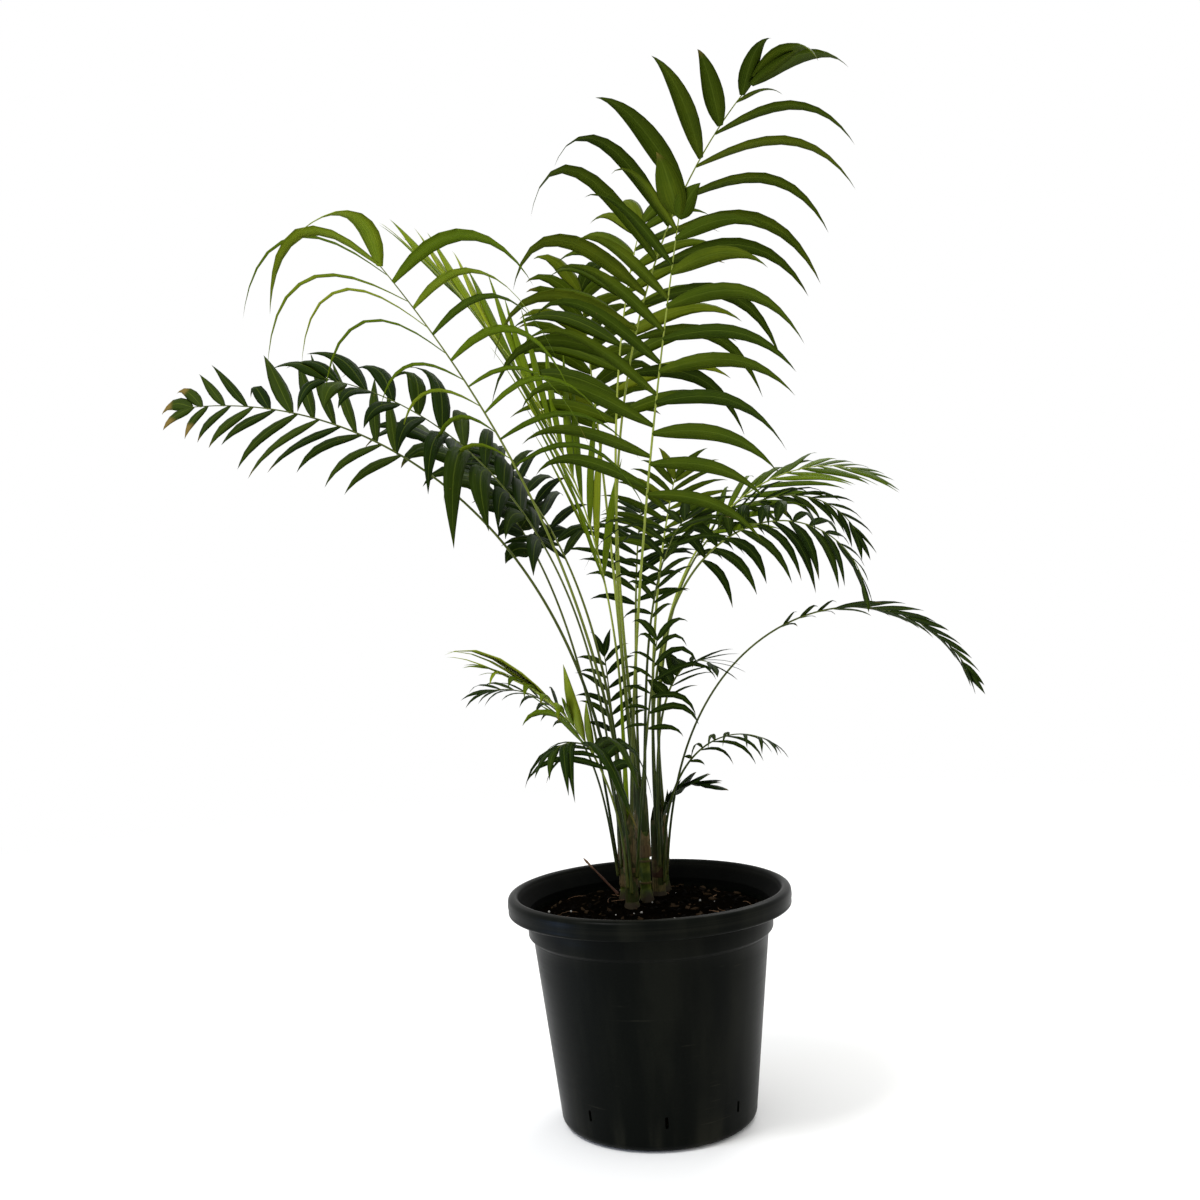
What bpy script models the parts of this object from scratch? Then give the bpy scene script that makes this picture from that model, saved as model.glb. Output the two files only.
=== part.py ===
# Parlour palm in a round nursery pot: a clump of short ringed canes that carries arching feather fronds.
# Metres, +Z up. The origin is the centre of the pot's flat underside, and the front of the plant faces -Y.

import math
from collections import namedtuple

import bmesh
import bpy
from mathutils import Vector
from mathutils.bvhtree import BVHTree

# Clear space between pieces that meet, and round a leaflet that passes another piece
GAP = 0.0003
LEAFLET_GAP = 0.0005
WELD = 0.00001

# Pot: a 10 litre pot with a rolled lip, a straight collar under it and a wall that tapers to the base
POT_HEIGHT = 0.227
LIP_RADIUS = 0.140
LIP_HEIGHT = 0.019
LIP_WIDTH = 0.011
COLLAR_RADIUS = 0.1210
COLLAR_HEIGHT = 0.024
LEDGE_STEP = 0.0025
BASE_RADIUS = 0.0965
BASE_ROUNDING = 0.010
POT_WALL = 0.0022
POT_STEPS = 32
SLOT_COUNT = 8
SLOT_WIDTH = 0.003
SLOT_HEIGHT = 0.011
SLOT_LEVEL = 0.030
SLOT_TURN = 2.0

# Potting soil: fills the pot to a nearly level top
SOIL_LEVEL = 0.205
SOIL_FLAT_RADIUS = 0.100
SOIL_EDGE_DROP = 0.005

# Canes: radius and flare at the soil, and the spacing of the ringed joints
CANE_RADIUS = 0.0057
CANE_TOP_RADIUS = 0.0063
CANE_FLARE_RADIUS = 0.0082
CANE_FLARE_HEIGHT = 0.011
CANE_RING_SPACING = 0.022
CANE_RING_HEIGHT = 0.0022
CANE_RING_PROUD = 0.00015
CANE_STEPS = 8
Cane = namedtuple("Cane", "name x y height")
CANES = [
    Cane("front_left", -0.017, 0.012, 0.075),
    Cane("middle", -0.002, 0.034, 0.085),
    Cane("right", 0.012, 0.054, 0.060),
    Cane("left", -0.022, 0.048, 0.080),
    Cane("back", -0.004, 0.087, 0.095),
    Cane("back_right", 0.018, 0.080, 0.070),
]

# Stalks and ribs: radii from the foot to the tip
STALK_FOOT_RADIUS = 0.0025
SIDE_STALK_FOOT_RADIUS = 0.0020
STALK_END_RADIUS = 0.0014
STALK_TAPER = 0.6
RIB_TIP_RADIUS = 0.0006
TOP_SEAT_RADIUS = 0.0035
STALK_SIDES = 5
RIB_SIDES = 4
LINE_STEPS = 60
STALK_PIECE = 0.055
STALK_TURN = 8.0
RIB_PIECE = 0.045
RIB_TURN = 10.0

# Leaflets: where their sections lie, the share of full width there, and the thickness of the keel
LEAFLET_STEPS = 8
LONG_LEAFLET = 0.120
SMALL_BLADE_LEAFLET = 0.095
SMALL_BLADE_SHARE = 0.72
SMALL_BLADE_WIDENING = 1.15
LONG_SECTIONS = [(0.30, 1.00), (0.68, 0.72)]
SHORT_SECTIONS = [(0.42, 1.00)]
ROOT_SHARE = 0.5
KEEL_SHARE = 0.011
KEEL_LEAST = 0.0007
WIDTH_FOLLOWS_LENGTH = 0.4
DROOP_POWER = 2.0
WIDEST_STATION = 0.4
TERMINAL_WIDENING = 1.3
TERMINAL_OPENING = 0.6
FIRST_LEAFLET = 0.3
STAGGER = 0.25
TERMINAL_STEP = 0.01
FREE_FROM = 0.14
# Small turns of a leaflet that lets it pass its neighbours: change of opening and of lift, in degrees
DODGES = [(0, 0), (6, 0), (-6, 0), (0, 8), (0, -8), (11, 6), (-11, -6), (0, 16), (0, -16), (16, 0), (-16, 0), (8, 22), (-8, -22)]

# Fronds. Each stands on a cane, at the bearing seat: on the cane's top, or on its side at the height foot.
# heading: the bearing it leans to (0 is +X, 90 is the back). lean_low to lean_tip: its slope from upright,
# reached along its length by the power bend. stalk: the share of its length that is bare. pairs: the pairs of
# leaflets, leaf by width in size, that open from the rib by open_low to open_tip. roll turns the blade about
# its rib, lift raises the leaflets from it, and droop bends them down. low and tip: the leaflets' share of
# full length at the blade's two ends. Lengths in metres and angles in degrees.
Frond = namedtuple("Frond", "name tone cane seat foot heading lean_low lean_tip bend length stalk "
                            "pairs leaf width open_low open_tip roll droop lift low tip twist")
FRONDS = [
    Frond("tall_front", "mid", "front_left", -20, None, -76, 8, 36, 0.7, 0.605, 0.56,
          9, 0.150, 0.015, 77, 50, 45, 0.95, 1, 0.86, 0.55, -6),
    Frond("top_right", "mid", "middle", 120, None, -50, -7, 62, 1.9, 0.758, 0.58,
          9, 0.202, 0.016, 87, 26, 9, 1.60, 7, 0.85, 0.52, -12),
    Frond("tall_back", "mid", "back", 0, None, 66, -11, 38, 1.65, 0.645, 0.60,
          9, 0.144, 0.016, 68, 42, -10, 0.90, 0, 0.85, 0.62, 4),
    Frond("upper_back_left", "mid", "back", 180, None, 105, 9, 19, 2.0, 0.570, 0.70,
          8, 0.098, 0.016, 62, 42, -5, 0.96, 4, 0.85, 0.75, 12),
    Frond("arch_left", "bright", "front_left", 225, None, 226, 1, 48, 0.8, 0.610, 0.62,
          8, 0.160, 0.009, 62, 56, -2, 2.60, 15, 1.00, 0.95, -12),
    Frond("bright_left", "bright", "left", 60, None, 160, -4, 42, 1.35, 0.588, 0.40,
          13, 0.170, 0.011, 30, 13, 10, 0.06, 10, 0.90, 0.80, -14),
    Frond("dark_left", "dark", "front_left", 178, 0.040, 195, 2.3, 78.5, 1.86, 0.604, 0.55,
          10, 0.124, 0.018, 68, 47, 30, 1.20, 7, 0.95, 0.50, -8),
    Frond("far_left", "dark", "left", 180, None, 181, 7.5, 93, 1.39, 0.668, 0.66,
          10, 0.112, 0.013, 66, 57, 48, 0.72, 9, 0.80, 0.40, -10),
    Frond("broad_left", "dark", "left", 150, 0.030, 150, 7, 61, 2.1, 0.525, 0.64,
          8, 0.105, 0.023, 68, 40, 8, 0.72, 10, 0.70, 0.85, 8),
    Frond("right_upper", "bright", "back_right", 0, None, 12.5, -2.5, 105.3, 1.95, 0.506, 0.60,
          11, 0.085, 0.014, 56, 22, -28, 0.30, -8, 0.90, 0.60, 4),
    Frond("right_drooping", "dark", "right", -90, None, -33.5, -0.5, 166.0, 2.35, 0.505, 0.58,
          12, 0.096, 0.011, 72, 40, 32, 2.00, 5, 0.70, 0.45, 12),
    Frond("right_middle", "dark", "right", 30, None, 6, 2, 154, 2.9, 0.500, 0.58,
          12, 0.060, 0.010, 52, 22, 32, 0.96, -3, 0.85, 0.60, 8),
    Frond("right_long", "dark", "right", -4, 0.022, -1.8, 6.2, 154.0, 1.7, 0.510, 0.56,
          12, 0.043, 0.010, 32, 26, 17, 0.24, 4, 0.80, 0.55, -12),
    Frond("right_short", "dark", "right", -45, 0.015, -40, 1, 109, 1.65, 0.236, 0.55,
          6, 0.052, 0.007, 66, 52, 16, 1.60, 0, 0.65, 0.55, 6),
    Frond("right_lowest", "dark", "right", 52, 0.022, -8, -3, 100, 2.6, 0.115, 0.50,
          5, 0.032, 0.008, 34, 24, 12, 0.30, 4, 0.80, 0.90, 5),
    Frond("low_left", "bright", "front_left", 245, 0.020, 215, 1, 70, 1.25, 0.286, 0.48,
          8, 0.084, 0.012, 46, 28, 2, 0.50, 3, 0.85, 0.65, -6),
    Frond("low_left_back", "dark", "left", 205, 0.025, 190, 7, 95, 2.6, 0.253, 0.63,
          7, 0.058, 0.008, 60, 40, 15, 1.00, 6, 0.80, 0.70, -10),
    Frond("hand", "dark", "front_left", 270, 0.015, 236, 1, 105.2, 1.95, 0.227, 0.55,
          6, 0.078, 0.010, 62, 28, 0, 2.10, 4, 0.95, 0.55, 8),
    Frond("low_right", "dark", "right", -80, 0.032, -60, 1, 110, 2.8, 0.276, 0.63,
          7, 0.055, 0.009, 54, 32, 6, 0.40, 6, 0.70, 0.65, 6),
    Frond("back_right", "mid", "back_right", 165, None, 61, -4, 31, 1.1, 0.378, 0.76,
          8, 0.080, 0.012, 72, 45, -14, 0.42, 2, 0.85, 0.60, 8),
    Frond("front_middle", "dark", "middle", -60, None, -60, 6, 60, 3.2, 0.322, 0.62,
          8, 0.082, 0.012, 62, 42, -2, 0.60, 7, 0.65, 0.80, 5),
    Frond("low_back", "dark", "left", 105, 0.040, 110, 1, 15, 1.5, 0.210, 0.60,
          6, 0.046, 0.009, 63, 46, 10, 0.54, 2, 0.85, 0.70, 0),
    Frond("low_front", "dark", "front_left", -40, 0.030, -70, 12, 24, 0.7, 0.253, 0.61,
          6, 0.062, 0.008, 84, 43, 2, 1.14, 3, 0.70, 0.70, 8),
    Frond("middle_back_left", "dark", "left", -60, None, 138, 3, 52, 1.5, 0.430, 0.64,
          9, 0.082, 0.015, 62, 48, 5, 0.66, 7, 0.85, 0.60, 5),
    Frond("middle_back", "dark", "back", 82, 0.050, 82, 4, 58, 1.8, 0.400, 0.63,
          9, 0.084, 0.013, 62, 50, -4, 0.66, 7, 0.70, 0.80, 8),
]

# New leaf that is still rolled up, and a dead stalk that lies on the soil behind the clump
SPEAR_CANE = "front_left"
SPEAR_SEAT = 95
SPEAR_LENGTH = 0.150
SPEAR_RADIUS = 0.0026
SPEAR_SIDES = 6
SPEAR_SHAPE = [(0.0, 0.9), (0.35, 1.0), (0.75, 0.7), (1.0, 0.15)]
SPEAR_LEAN = 3
DEAD_STALK_FOOT = (-0.030, 0.064)
DEAD_STALK_BEARING = 127
DEAD_STALK_LENGTH = 0.066
DEAD_STALK_RISE = 27
DEAD_STALK_RADIUS = 0.0013
DEAD_STALK_SHAPE = [(0.0, 1.0), (0.5, 0.8), (1.0, 0.5)]

# Leaf colours by tone, and the other finishes: base colour, roughness
LEAF_TONES = {
    "bright": (0.24, 0.33, 0.035),
    "mid": (0.09, 0.15, 0.018),
    "dark": (0.028, 0.055, 0.014),
}
POT_FINISH = ((0.012, 0.014, 0.014), 0.42)
SOIL_FINISH = ((0.018, 0.012, 0.008), 0.95)
CANE_FINISH = ((0.10, 0.15, 0.035), 0.55)
STALK_FINISH = ((0.30, 0.38, 0.08), 0.45)
DEAD_FINISH = ((0.16, 0.09, 0.04), 0.85)
LEAF_ROUGHNESS = 0.38


def clear_scene():
    for item in list(bpy.data.objects):
        bpy.data.objects.remove(item)


def new_collection(name):
    found = bpy.data.collections.new(name)
    bpy.context.scene.collection.children.link(found)
    return found


def finish_with(item, colour, roughness):
    finish = bpy.data.materials.new(item.name + "_finish")
    finish.use_nodes = True
    shader = finish.node_tree.nodes["Principled BSDF"]
    shader.inputs["Base Color"].default_value = (*colour, 1.0)
    shader.inputs["Roughness"].default_value = roughness
    item.data.materials.clear()
    item.data.materials.append(finish)


def bearing(degrees):
    turn = math.radians(degrees)
    return Vector((math.cos(turn), math.sin(turn), 0.0))


# Turned pieces


def turned(name, profile, steps, home):
    mesh = bpy.data.meshes.new(name)
    edges = [(i, i + 1) for i in range(len(profile) - 1)]
    mesh.from_pydata([(radius, 0.0, height) for radius, height in profile], edges, [])
    item = bpy.data.objects.new(name, mesh)
    home.objects.link(item)
    screw = item.modifiers.new("turn", "SCREW")
    screw.steps = steps
    screw.render_steps = steps
    screw.use_merge_vertices = True
    screw.merge_threshold = WELD
    screw.use_smooth_shade = True
    return item


def pot_wall_radius(height):
    # outer radius of the tapering wall between the base and the ledge under the collar
    ledge = POT_HEIGHT - LIP_HEIGHT - COLLAR_HEIGHT
    share = (height - BASE_ROUNDING) / (ledge - BASE_ROUNDING)
    return BASE_RADIUS + (COLLAR_RADIUS - 2 * LEDGE_STEP - BASE_RADIUS) * share


def pot_profile():
    lip_low = POT_HEIGHT - LIP_HEIGHT
    ledge = lip_low - COLLAR_HEIGHT
    lip_inner = LIP_RADIUS - LIP_WIDTH
    base_side = 0.3 * BASE_ROUNDING
    inner = [
        (0.0, POT_WALL),
        (BASE_RADIUS - BASE_ROUNDING, POT_WALL),
        (pot_wall_radius(BASE_ROUNDING) - POT_WALL, BASE_ROUNDING),
        (pot_wall_radius(ledge) - POT_WALL, ledge),
        (COLLAR_RADIUS - POT_WALL, ledge + LEDGE_STEP),
        (COLLAR_RADIUS + LEDGE_STEP, lip_low + 0.4 * LIP_HEIGHT),
        (lip_inner, POT_HEIGHT - 0.12 * LIP_HEIGHT),
    ]
    outer = [
        (lip_inner + 0.3 * LIP_WIDTH, POT_HEIGHT),
        (LIP_RADIUS - 0.35 * LIP_WIDTH, POT_HEIGHT - 0.05 * LIP_HEIGHT),
        (LIP_RADIUS, POT_HEIGHT - 0.42 * LIP_HEIGHT),
        (LIP_RADIUS - 0.35 * LIP_WIDTH, lip_low),
        (COLLAR_RADIUS, lip_low),
        (COLLAR_RADIUS - 0.4 * LEDGE_STEP, ledge + LEDGE_STEP),
        (pot_wall_radius(ledge), ledge),
        (pot_wall_radius(BASE_ROUNDING), BASE_ROUNDING),
        (BASE_RADIUS - base_side, 0.35 * BASE_ROUNDING),
        (BASE_RADIUS - BASE_ROUNDING, 0.0),
        (0.0, 0.0),
    ]
    return inner + outer


def make_pot(home, cutters):
    pot = turned("pot", pot_profile(), POT_STEPS, home)
    for number in range(SLOT_COUNT):
        turn = SLOT_TURN + 360.0 * number / SLOT_COUNT
        place = bearing(turn) * BASE_RADIUS
        bpy.ops.mesh.primitive_cube_add(size=1.0, location=(place.x, place.y, SLOT_LEVEL),
                                        rotation=(0.0, 0.0, math.radians(turn)))
        slot = bpy.context.active_object
        slot.name = f"slot_cutter_{number + 1}"
        slot.scale = (4 * BASE_ROUNDING, SLOT_WIDTH, SLOT_HEIGHT)
        slot.hide_render = True
        slot.display_type = "WIRE"
        for owner in list(slot.users_collection):
            owner.objects.unlink(slot)
        cutters.objects.link(slot)
    cut = pot.modifiers.new("slots", "BOOLEAN")
    cut.operation = "DIFFERENCE"
    cut.solver = "MANIFOLD"
    cut.operand_type = "COLLECTION"
    cut.collection = cutters
    finish_with(pot, *POT_FINISH)
    return pot


def make_soil(home):
    # the soil follows the pot's inside, one gap clear of it
    wall = POT_WALL + GAP / math.cos(math.pi / POT_STEPS)
    ledge = POT_HEIGHT - LIP_HEIGHT - COLLAR_HEIGHT
    edge_level = SOIL_LEVEL - SOIL_EDGE_DROP
    profile = [
        (0.0, SOIL_LEVEL),
        (SOIL_FLAT_RADIUS, SOIL_LEVEL),
        (COLLAR_RADIUS - wall - 3 * GAP, edge_level),
        (COLLAR_RADIUS - wall - 3 * GAP, ledge + LEDGE_STEP),
        (pot_wall_radius(ledge) - wall - 2 * GAP, ledge),
        (pot_wall_radius(BASE_ROUNDING) - wall - 2 * GAP, BASE_ROUNDING + GAP),
        (BASE_RADIUS - BASE_ROUNDING - GAP, POT_WALL + GAP),
        (0.0, POT_WALL + GAP),
    ]
    soil = turned("potting_soil", profile, POT_STEPS, home)
    finish_with(soil, *SOIL_FINISH)
    return soil


def make_cane(cane, home):
    foot = SOIL_LEVEL + GAP
    top = foot + cane.height
    profile = [(0.0, top), (CANE_TOP_RADIUS, top), (CANE_TOP_RADIUS, top - CANE_RING_HEIGHT)]
    ring = top - CANE_RING_SPACING
    while ring > foot + CANE_FLARE_HEIGHT + CANE_RING_HEIGHT:
        profile.append((CANE_RADIUS, ring + CANE_RING_HEIGHT))
        profile.append((CANE_RADIUS + CANE_RING_PROUD, ring))
        profile.append((CANE_RADIUS, ring - CANE_RING_HEIGHT))
        ring -= CANE_RING_SPACING
    profile.append((CANE_RADIUS, foot + CANE_FLARE_HEIGHT))
    profile.append((CANE_FLARE_RADIUS, foot))
    profile.append((0.0, foot))
    item = turned("cane_" + cane.name, profile, CANE_STEPS, home)
    item.location = (cane.x, cane.y, 0.0)
    finish_with(item, *CANE_FINISH)
    return item


# The line of a frond


def stem_frame(frond, t):
    # at the share t of the frond's length: the way it runs, the way to its right and the way its face looks
    lean = math.radians(frond.lean_low + (frond.lean_tip - frond.lean_low) * t ** frond.bend)
    ahead = bearing(frond.heading)
    along = ahead * math.sin(lean) + Vector((0.0, 0.0, math.cos(lean)))
    side = Vector((ahead.y, -ahead.x, 0.0))
    face = side.cross(along)
    roll = math.radians(frond.roll)
    return along, side * math.cos(roll) + face * math.sin(roll), face * math.cos(roll) - side * math.sin(roll)


def cane_reach(turn):
    # how far a cane's facets stand out at a bearing
    facet = 360.0 / CANE_STEPS
    off = turn % facet - facet / 2
    return CANE_RADIUS * math.cos(math.radians(facet / 2)) / math.cos(math.radians(off))


def stem_foot(frond):
    cane = next(item for item in CANES if item.name == frond.cane)
    if frond.foot is None:
        away = TOP_SEAT_RADIUS
        height = cane.height + 2 * GAP
    else:
        away = cane_reach(frond.seat) + CANE_RING_PROUD + GAP + SIDE_STALK_FOOT_RADIUS
        height = frond.foot
    lean = abs(math.radians(frond.lean_low))
    tilt_room = STALK_FOOT_RADIUS * math.sin(lean) if frond.foot is None else 0.0
    return Vector((cane.x, cane.y, SOIL_LEVEL + height + tilt_room)) + bearing(frond.seat) * away


def stem_line(frond):
    points = [stem_foot(frond)]
    for step in range(LINE_STEPS):
        along = stem_frame(frond, (step + 0.5) / LINE_STEPS)[0]
        points.append(points[-1] + along * (frond.length / LINE_STEPS))
    return points


def point_at(line, t):
    place = min(max(t, 0.0), 1.0) * (len(line) - 1)
    step = min(int(place), len(line) - 2)
    return line[step].lerp(line[step + 1], place - step)


def pieces_for(frond, start, end, piece, turn):
    # straight pieces that a stretch of the frond needs: by its length and by how far it bends
    bends = abs(frond.lean_tip - frond.lean_low) * (end ** frond.bend - start ** frond.bend)
    return max(3, round((end - start) * frond.length / piece), math.ceil(bends / turn))


def limb(name, points, frames, radii, sides, home):
    # a tapering limb with flat ends: each section lies square to the limb, its faces to the left and right
    corners = []
    for point, (along, right, face), radius in zip(points, frames, radii):
        for number in range(sides):
            turn = 2.0 * math.pi * (number + 0.5) / sides
            corners.append(point + (right * math.cos(turn) + face * math.sin(turn)) * radius)
    faces = [tuple(range(sides - 1, -1, -1)), tuple(range(len(corners) - sides, len(corners)))]
    for row in range(len(points) - 1):
        for number in range(sides):
            low = row * sides + number
            after = row * sides + (number + 1) % sides
            faces.append((low, after, after + sides, low + sides))
    mesh = bpy.data.meshes.new(name)
    mesh.from_pydata([tuple(corner) for corner in corners], [], faces)
    weld(mesh)
    item = bpy.data.objects.new(name, mesh)
    home.objects.link(item)
    return item


def evaluated_mesh(item):
    bpy.context.view_layer.update()
    graph = bpy.context.evaluated_depsgraph_get()
    return bpy.data.meshes.new_from_object(item.evaluated_get(graph))


def weld(mesh):
    shape = bmesh.new()
    shape.from_mesh(mesh)
    bmesh.ops.remove_doubles(shape, verts=shape.verts, dist=WELD)
    bmesh.ops.recalc_face_normals(shape, faces=shape.faces)
    bmesh.ops.triangulate(shape, faces=shape.faces)
    shape.to_mesh(mesh)
    shape.free()


def make_stalk(frond, home):
    line = stem_line(frond)
    end = frond.stalk - GAP / frond.length
    count = pieces_for(frond, 0.0, end, STALK_PIECE, STALK_TURN)
    foot = STALK_FOOT_RADIUS if frond.foot is None else SIDE_STALK_FOOT_RADIUS
    shares = [step / count for step in range(count + 1)]
    points = [point_at(line, end * share) for share in shares]
    frames = [stem_frame(frond, end * share) for share in shares]
    radii = [foot + (STALK_END_RADIUS - foot) * share ** STALK_TAPER for share in shares]
    stalk = limb("stalk_" + frond.name, points, frames, radii, STALK_SIDES, home)
    finish_with(stalk, *STALK_FINISH)
    return stalk


def rib_places(frond):
    count = pieces_for(frond, frond.stalk, 1.0, RIB_PIECE, RIB_TURN)
    return [frond.stalk + (1.0 - frond.stalk) * step / count for step in range(count + 1)]


def rib_line(frond):
    line = stem_line(frond)
    return [point_at(line, place) for place in rib_places(frond)]


def make_rib(frond, home):
    points = rib_line(frond)
    last = len(points) - 1
    frames = [stem_frame(frond, place) for place in rib_places(frond)]
    radii = [STALK_END_RADIUS + (RIB_TIP_RADIUS - STALK_END_RADIUS) * step / last for step in range(last + 1)]
    return limb("blade_" + frond.name, points, frames, radii, RIB_SIDES, home)


# Leaflets


def leaflet_stations(frond):
    # the share along the blade and the side of each leaflet, from the lowest pair to the pair at the tip
    stations = []
    pairs = round(frond.pairs * SMALL_BLADE_SHARE) if frond.leaf < SMALL_BLADE_LEAFLET else frond.pairs
    for pair in range(pairs):
        share = (pair + FIRST_LEAFLET) / pairs
        stations.append((share, -1.0))
        stations.append((share + STAGGER / pairs, 1.0))
    return stations + [(1.0 - TERMINAL_STEP, -1.0), (1.0 - 0.1 * TERMINAL_STEP, 1.0)]


def leaflet_share(frond, share):
    if share < WIDEST_STATION:
        return frond.low + (1.0 - frond.low) * share / WIDEST_STATION
    return 1.0 + (frond.tip - 1.0) * (share - WIDEST_STATION) / (1.0 - WIDEST_STATION)


def leaflet_line(frond, rib, share, side, dodge):
    # root to tip: the points of the leaflet's midline, the way it runs at each and the way across it there
    t = frond.stalk + (1.0 - frond.stalk) * share
    along, right, face = stem_frame(frond, t)
    terminal = share > 1.0 - 1.5 * TERMINAL_STEP
    opening = frond.open_low + (frond.open_tip - frond.open_low) * share
    opening = math.radians(opening * (TERMINAL_OPENING if terminal else 1.0) + dodge[0])
    lift = math.radians(frond.lift + dodge[1])
    start = along * math.cos(opening) + (right * side * math.cos(lift) + face * math.sin(lift)) * math.sin(opening)
    length = frond.leaf * leaflet_share(frond, share)
    across = face.cross(start).normalized()
    twist = math.radians(frond.twist)
    across = across * math.cos(twist) + face * side * math.sin(twist)
    points = [point_at(rib, share)]
    ways = []
    acrosses = []
    for step in range(LEAFLET_STEPS):
        fall = frond.droop * ((step + 0.5) / LEAFLET_STEPS) ** DROOP_POWER
        way = (start - Vector((0.0, 0.0, fall))).normalized()
        across = (across - way * across.dot(way)).normalized()
        ways.append(way)
        acrosses.append(across)
        points.append(points[-1] + way * (length / LEAFLET_STEPS))
    ways.append(way)
    acrosses.append(across)
    return points, ways, acrosses, length


def leaflet_shape(frond, rib, share, side, dodge, grow=0.0, start=0.0):
    # a keeled blade with a pointed tip: three corners a section. grow makes it larger all round.
    points, ways, acrosses, length = leaflet_line(frond, rib, share, side, dodge)
    keel = max(KEEL_SHARE * length, KEEL_LEAST) + 2 * grow
    half = 0.5 * frond.width * (1.0 + WIDTH_FOLLOWS_LENGTH * (leaflet_share(frond, share) - 1.0))
    if frond.leaf < SMALL_BLADE_LEAFLET:
        half *= SMALL_BLADE_WIDENING
    if share > 1.0 - 1.5 * TERMINAL_STEP:
        half *= TERMINAL_WIDENING
    root = ROOT_SHARE * (STALK_END_RADIUS + (RIB_TIP_RADIUS - STALK_END_RADIUS) * share)
    sections = LONG_SECTIONS if frond.leaf > LONG_LEAFLET else SHORT_SECTIONS
    corners = []
    first_half = root + (half - root) * start / sections[0][0]
    rows = [(start, first_half, min(keel, 2 * root) if start == 0.0 else keel)]
    rows += [(place, half * width, keel) for place, width in sections]
    for place, reach, depth in rows:
        way = point_at(ways, place).normalized()
        across = point_at(acrosses, place)
        sideways = (across - way * across.dot(way)).normalized()
        up = way.cross(sideways)
        centre = point_at(points, place)
        corners.append(centre + sideways * (reach + grow) + up * (depth / 3))
        corners.append(centre - sideways * (reach + grow) + up * (depth / 3))
        corners.append(centre - up * (depth * 2 / 3))
    corners.append(points[-1] + ways[-1] * grow)
    faces = [(0, 1, 2)]
    for row in range(len(rows) - 1):
        low = 3 * row
        for corner in range(3):
            after = (corner + 1) % 3
            faces.append((low + corner, low + 3 + corner, low + 3 + after))
            faces.append((low + corner, low + 3 + after, low + after))
    last = 3 * (len(rows) - 1)
    tip = last + 3
    faces += [(last + corner, tip, last + (corner + 1) % 3) for corner in range(3)]
    return corners, faces


def tree_of(corners, faces):
    return BVHTree.FromPolygons([tuple(corner) for corner in corners], faces, all_triangles=False)


def tree_of_object(item):
    mesh = evaluated_mesh(item)
    corners = [item.matrix_world @ corner.co for corner in mesh.vertices]
    faces = [tuple(face.vertices) for face in mesh.polygons]
    bpy.data.meshes.remove(mesh)
    return tree_of(corners, faces)


def passes(shape, trees):
    tested = tree_of(*shape)
    return not any(tested.overlap(tree) for tree in trees)


def grow_leaflets(frond, others, placed):
    # every leaflet that finds room, each turned as little as it takes to pass what is there already
    rib = rib_line(frond)
    own = []
    shapes = []
    for share, side in leaflet_stations(frond):
        for dodge in DODGES:
            whole = leaflet_shape(frond, rib, share, side, dodge, LEAFLET_GAP)
            free = leaflet_shape(frond, rib, share, side, dodge, LEAFLET_GAP, FREE_FROM)
            if passes(whole, others) and passes(whole, placed) and passes(free, own):
                shape = leaflet_shape(frond, rib, share, side, dodge)
                shapes.append(shape)
                own.append(tree_of(*shape))
                break
    return shapes, own


def make_blade(frond, rib, shapes, home):
    # one thin blade: the leaflets fused to the rib
    leaflets = new_collection("leaflets_" + frond.name)
    for number, (corners, faces) in enumerate(shapes):
        mesh = bpy.data.meshes.new(f"leaflet_{number}")
        mesh.from_pydata([tuple(corner) for corner in corners], [], faces)
        weld(mesh)
        leaflets.objects.link(bpy.data.objects.new(f"leaflet_{number}", mesh))
    join = rib.modifiers.new("leaflets", "BOOLEAN")
    join.operation = "UNION"
    join.solver = "MANIFOLD"
    join.operand_type = "COLLECTION"
    join.collection = leaflets
    mesh = evaluated_mesh(rib)
    rib.modifiers.clear()
    rib.data = mesh
    for leaflet in list(leaflets.objects):
        bpy.data.objects.remove(leaflet)
    bpy.data.collections.remove(leaflets)
    finish_with(rib, LEAF_TONES[frond.tone], LEAF_ROUGHNESS)


# The rolled new leaf and the dead stalk


def straight_frames(way, count):
    right = way.orthogonal().normalized()
    return [(way, right, way.cross(right))] * count


def make_spear(home):
    cane = next(item for item in CANES if item.name == SPEAR_CANE)
    foot = Vector((cane.x, cane.y, SOIL_LEVEL + cane.height + 2 * GAP)) + bearing(SPEAR_SEAT) * TOP_SEAT_RADIUS
    lean = math.radians(SPEAR_LEAN)
    way = bearing(SPEAR_SEAT) * math.sin(lean) + Vector((0.0, 0.0, math.cos(lean)))
    radii = [SPEAR_RADIUS * width for share, width in SPEAR_SHAPE]
    points = [foot + way * (SPEAR_LENGTH * share) for share, width in SPEAR_SHAPE]
    spear = limb("spear_new_leaf", points, straight_frames(way, len(points)), radii, SPEAR_SIDES, home)
    finish_with(spear, LEAF_TONES["bright"], LEAF_ROUGHNESS)
    return spear


def make_dead_stalk(home):
    rise = math.radians(DEAD_STALK_RISE)
    way = bearing(DEAD_STALK_BEARING) * math.cos(rise) + Vector((0.0, 0.0, math.sin(rise)))
    level = SOIL_LEVEL + DEAD_STALK_RADIUS + GAP
    foot = Vector((DEAD_STALK_FOOT[0], DEAD_STALK_FOOT[1], level))
    points = [foot + way * (DEAD_STALK_LENGTH * share) for share, width in DEAD_STALK_SHAPE]
    radii = [DEAD_STALK_RADIUS * width for share, width in DEAD_STALK_SHAPE]
    stalk = limb("dead_stalk", points, straight_frames(way, len(points)), radii, STALK_SIDES, home)
    finish_with(stalk, *DEAD_FINISH)
    return stalk


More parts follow.
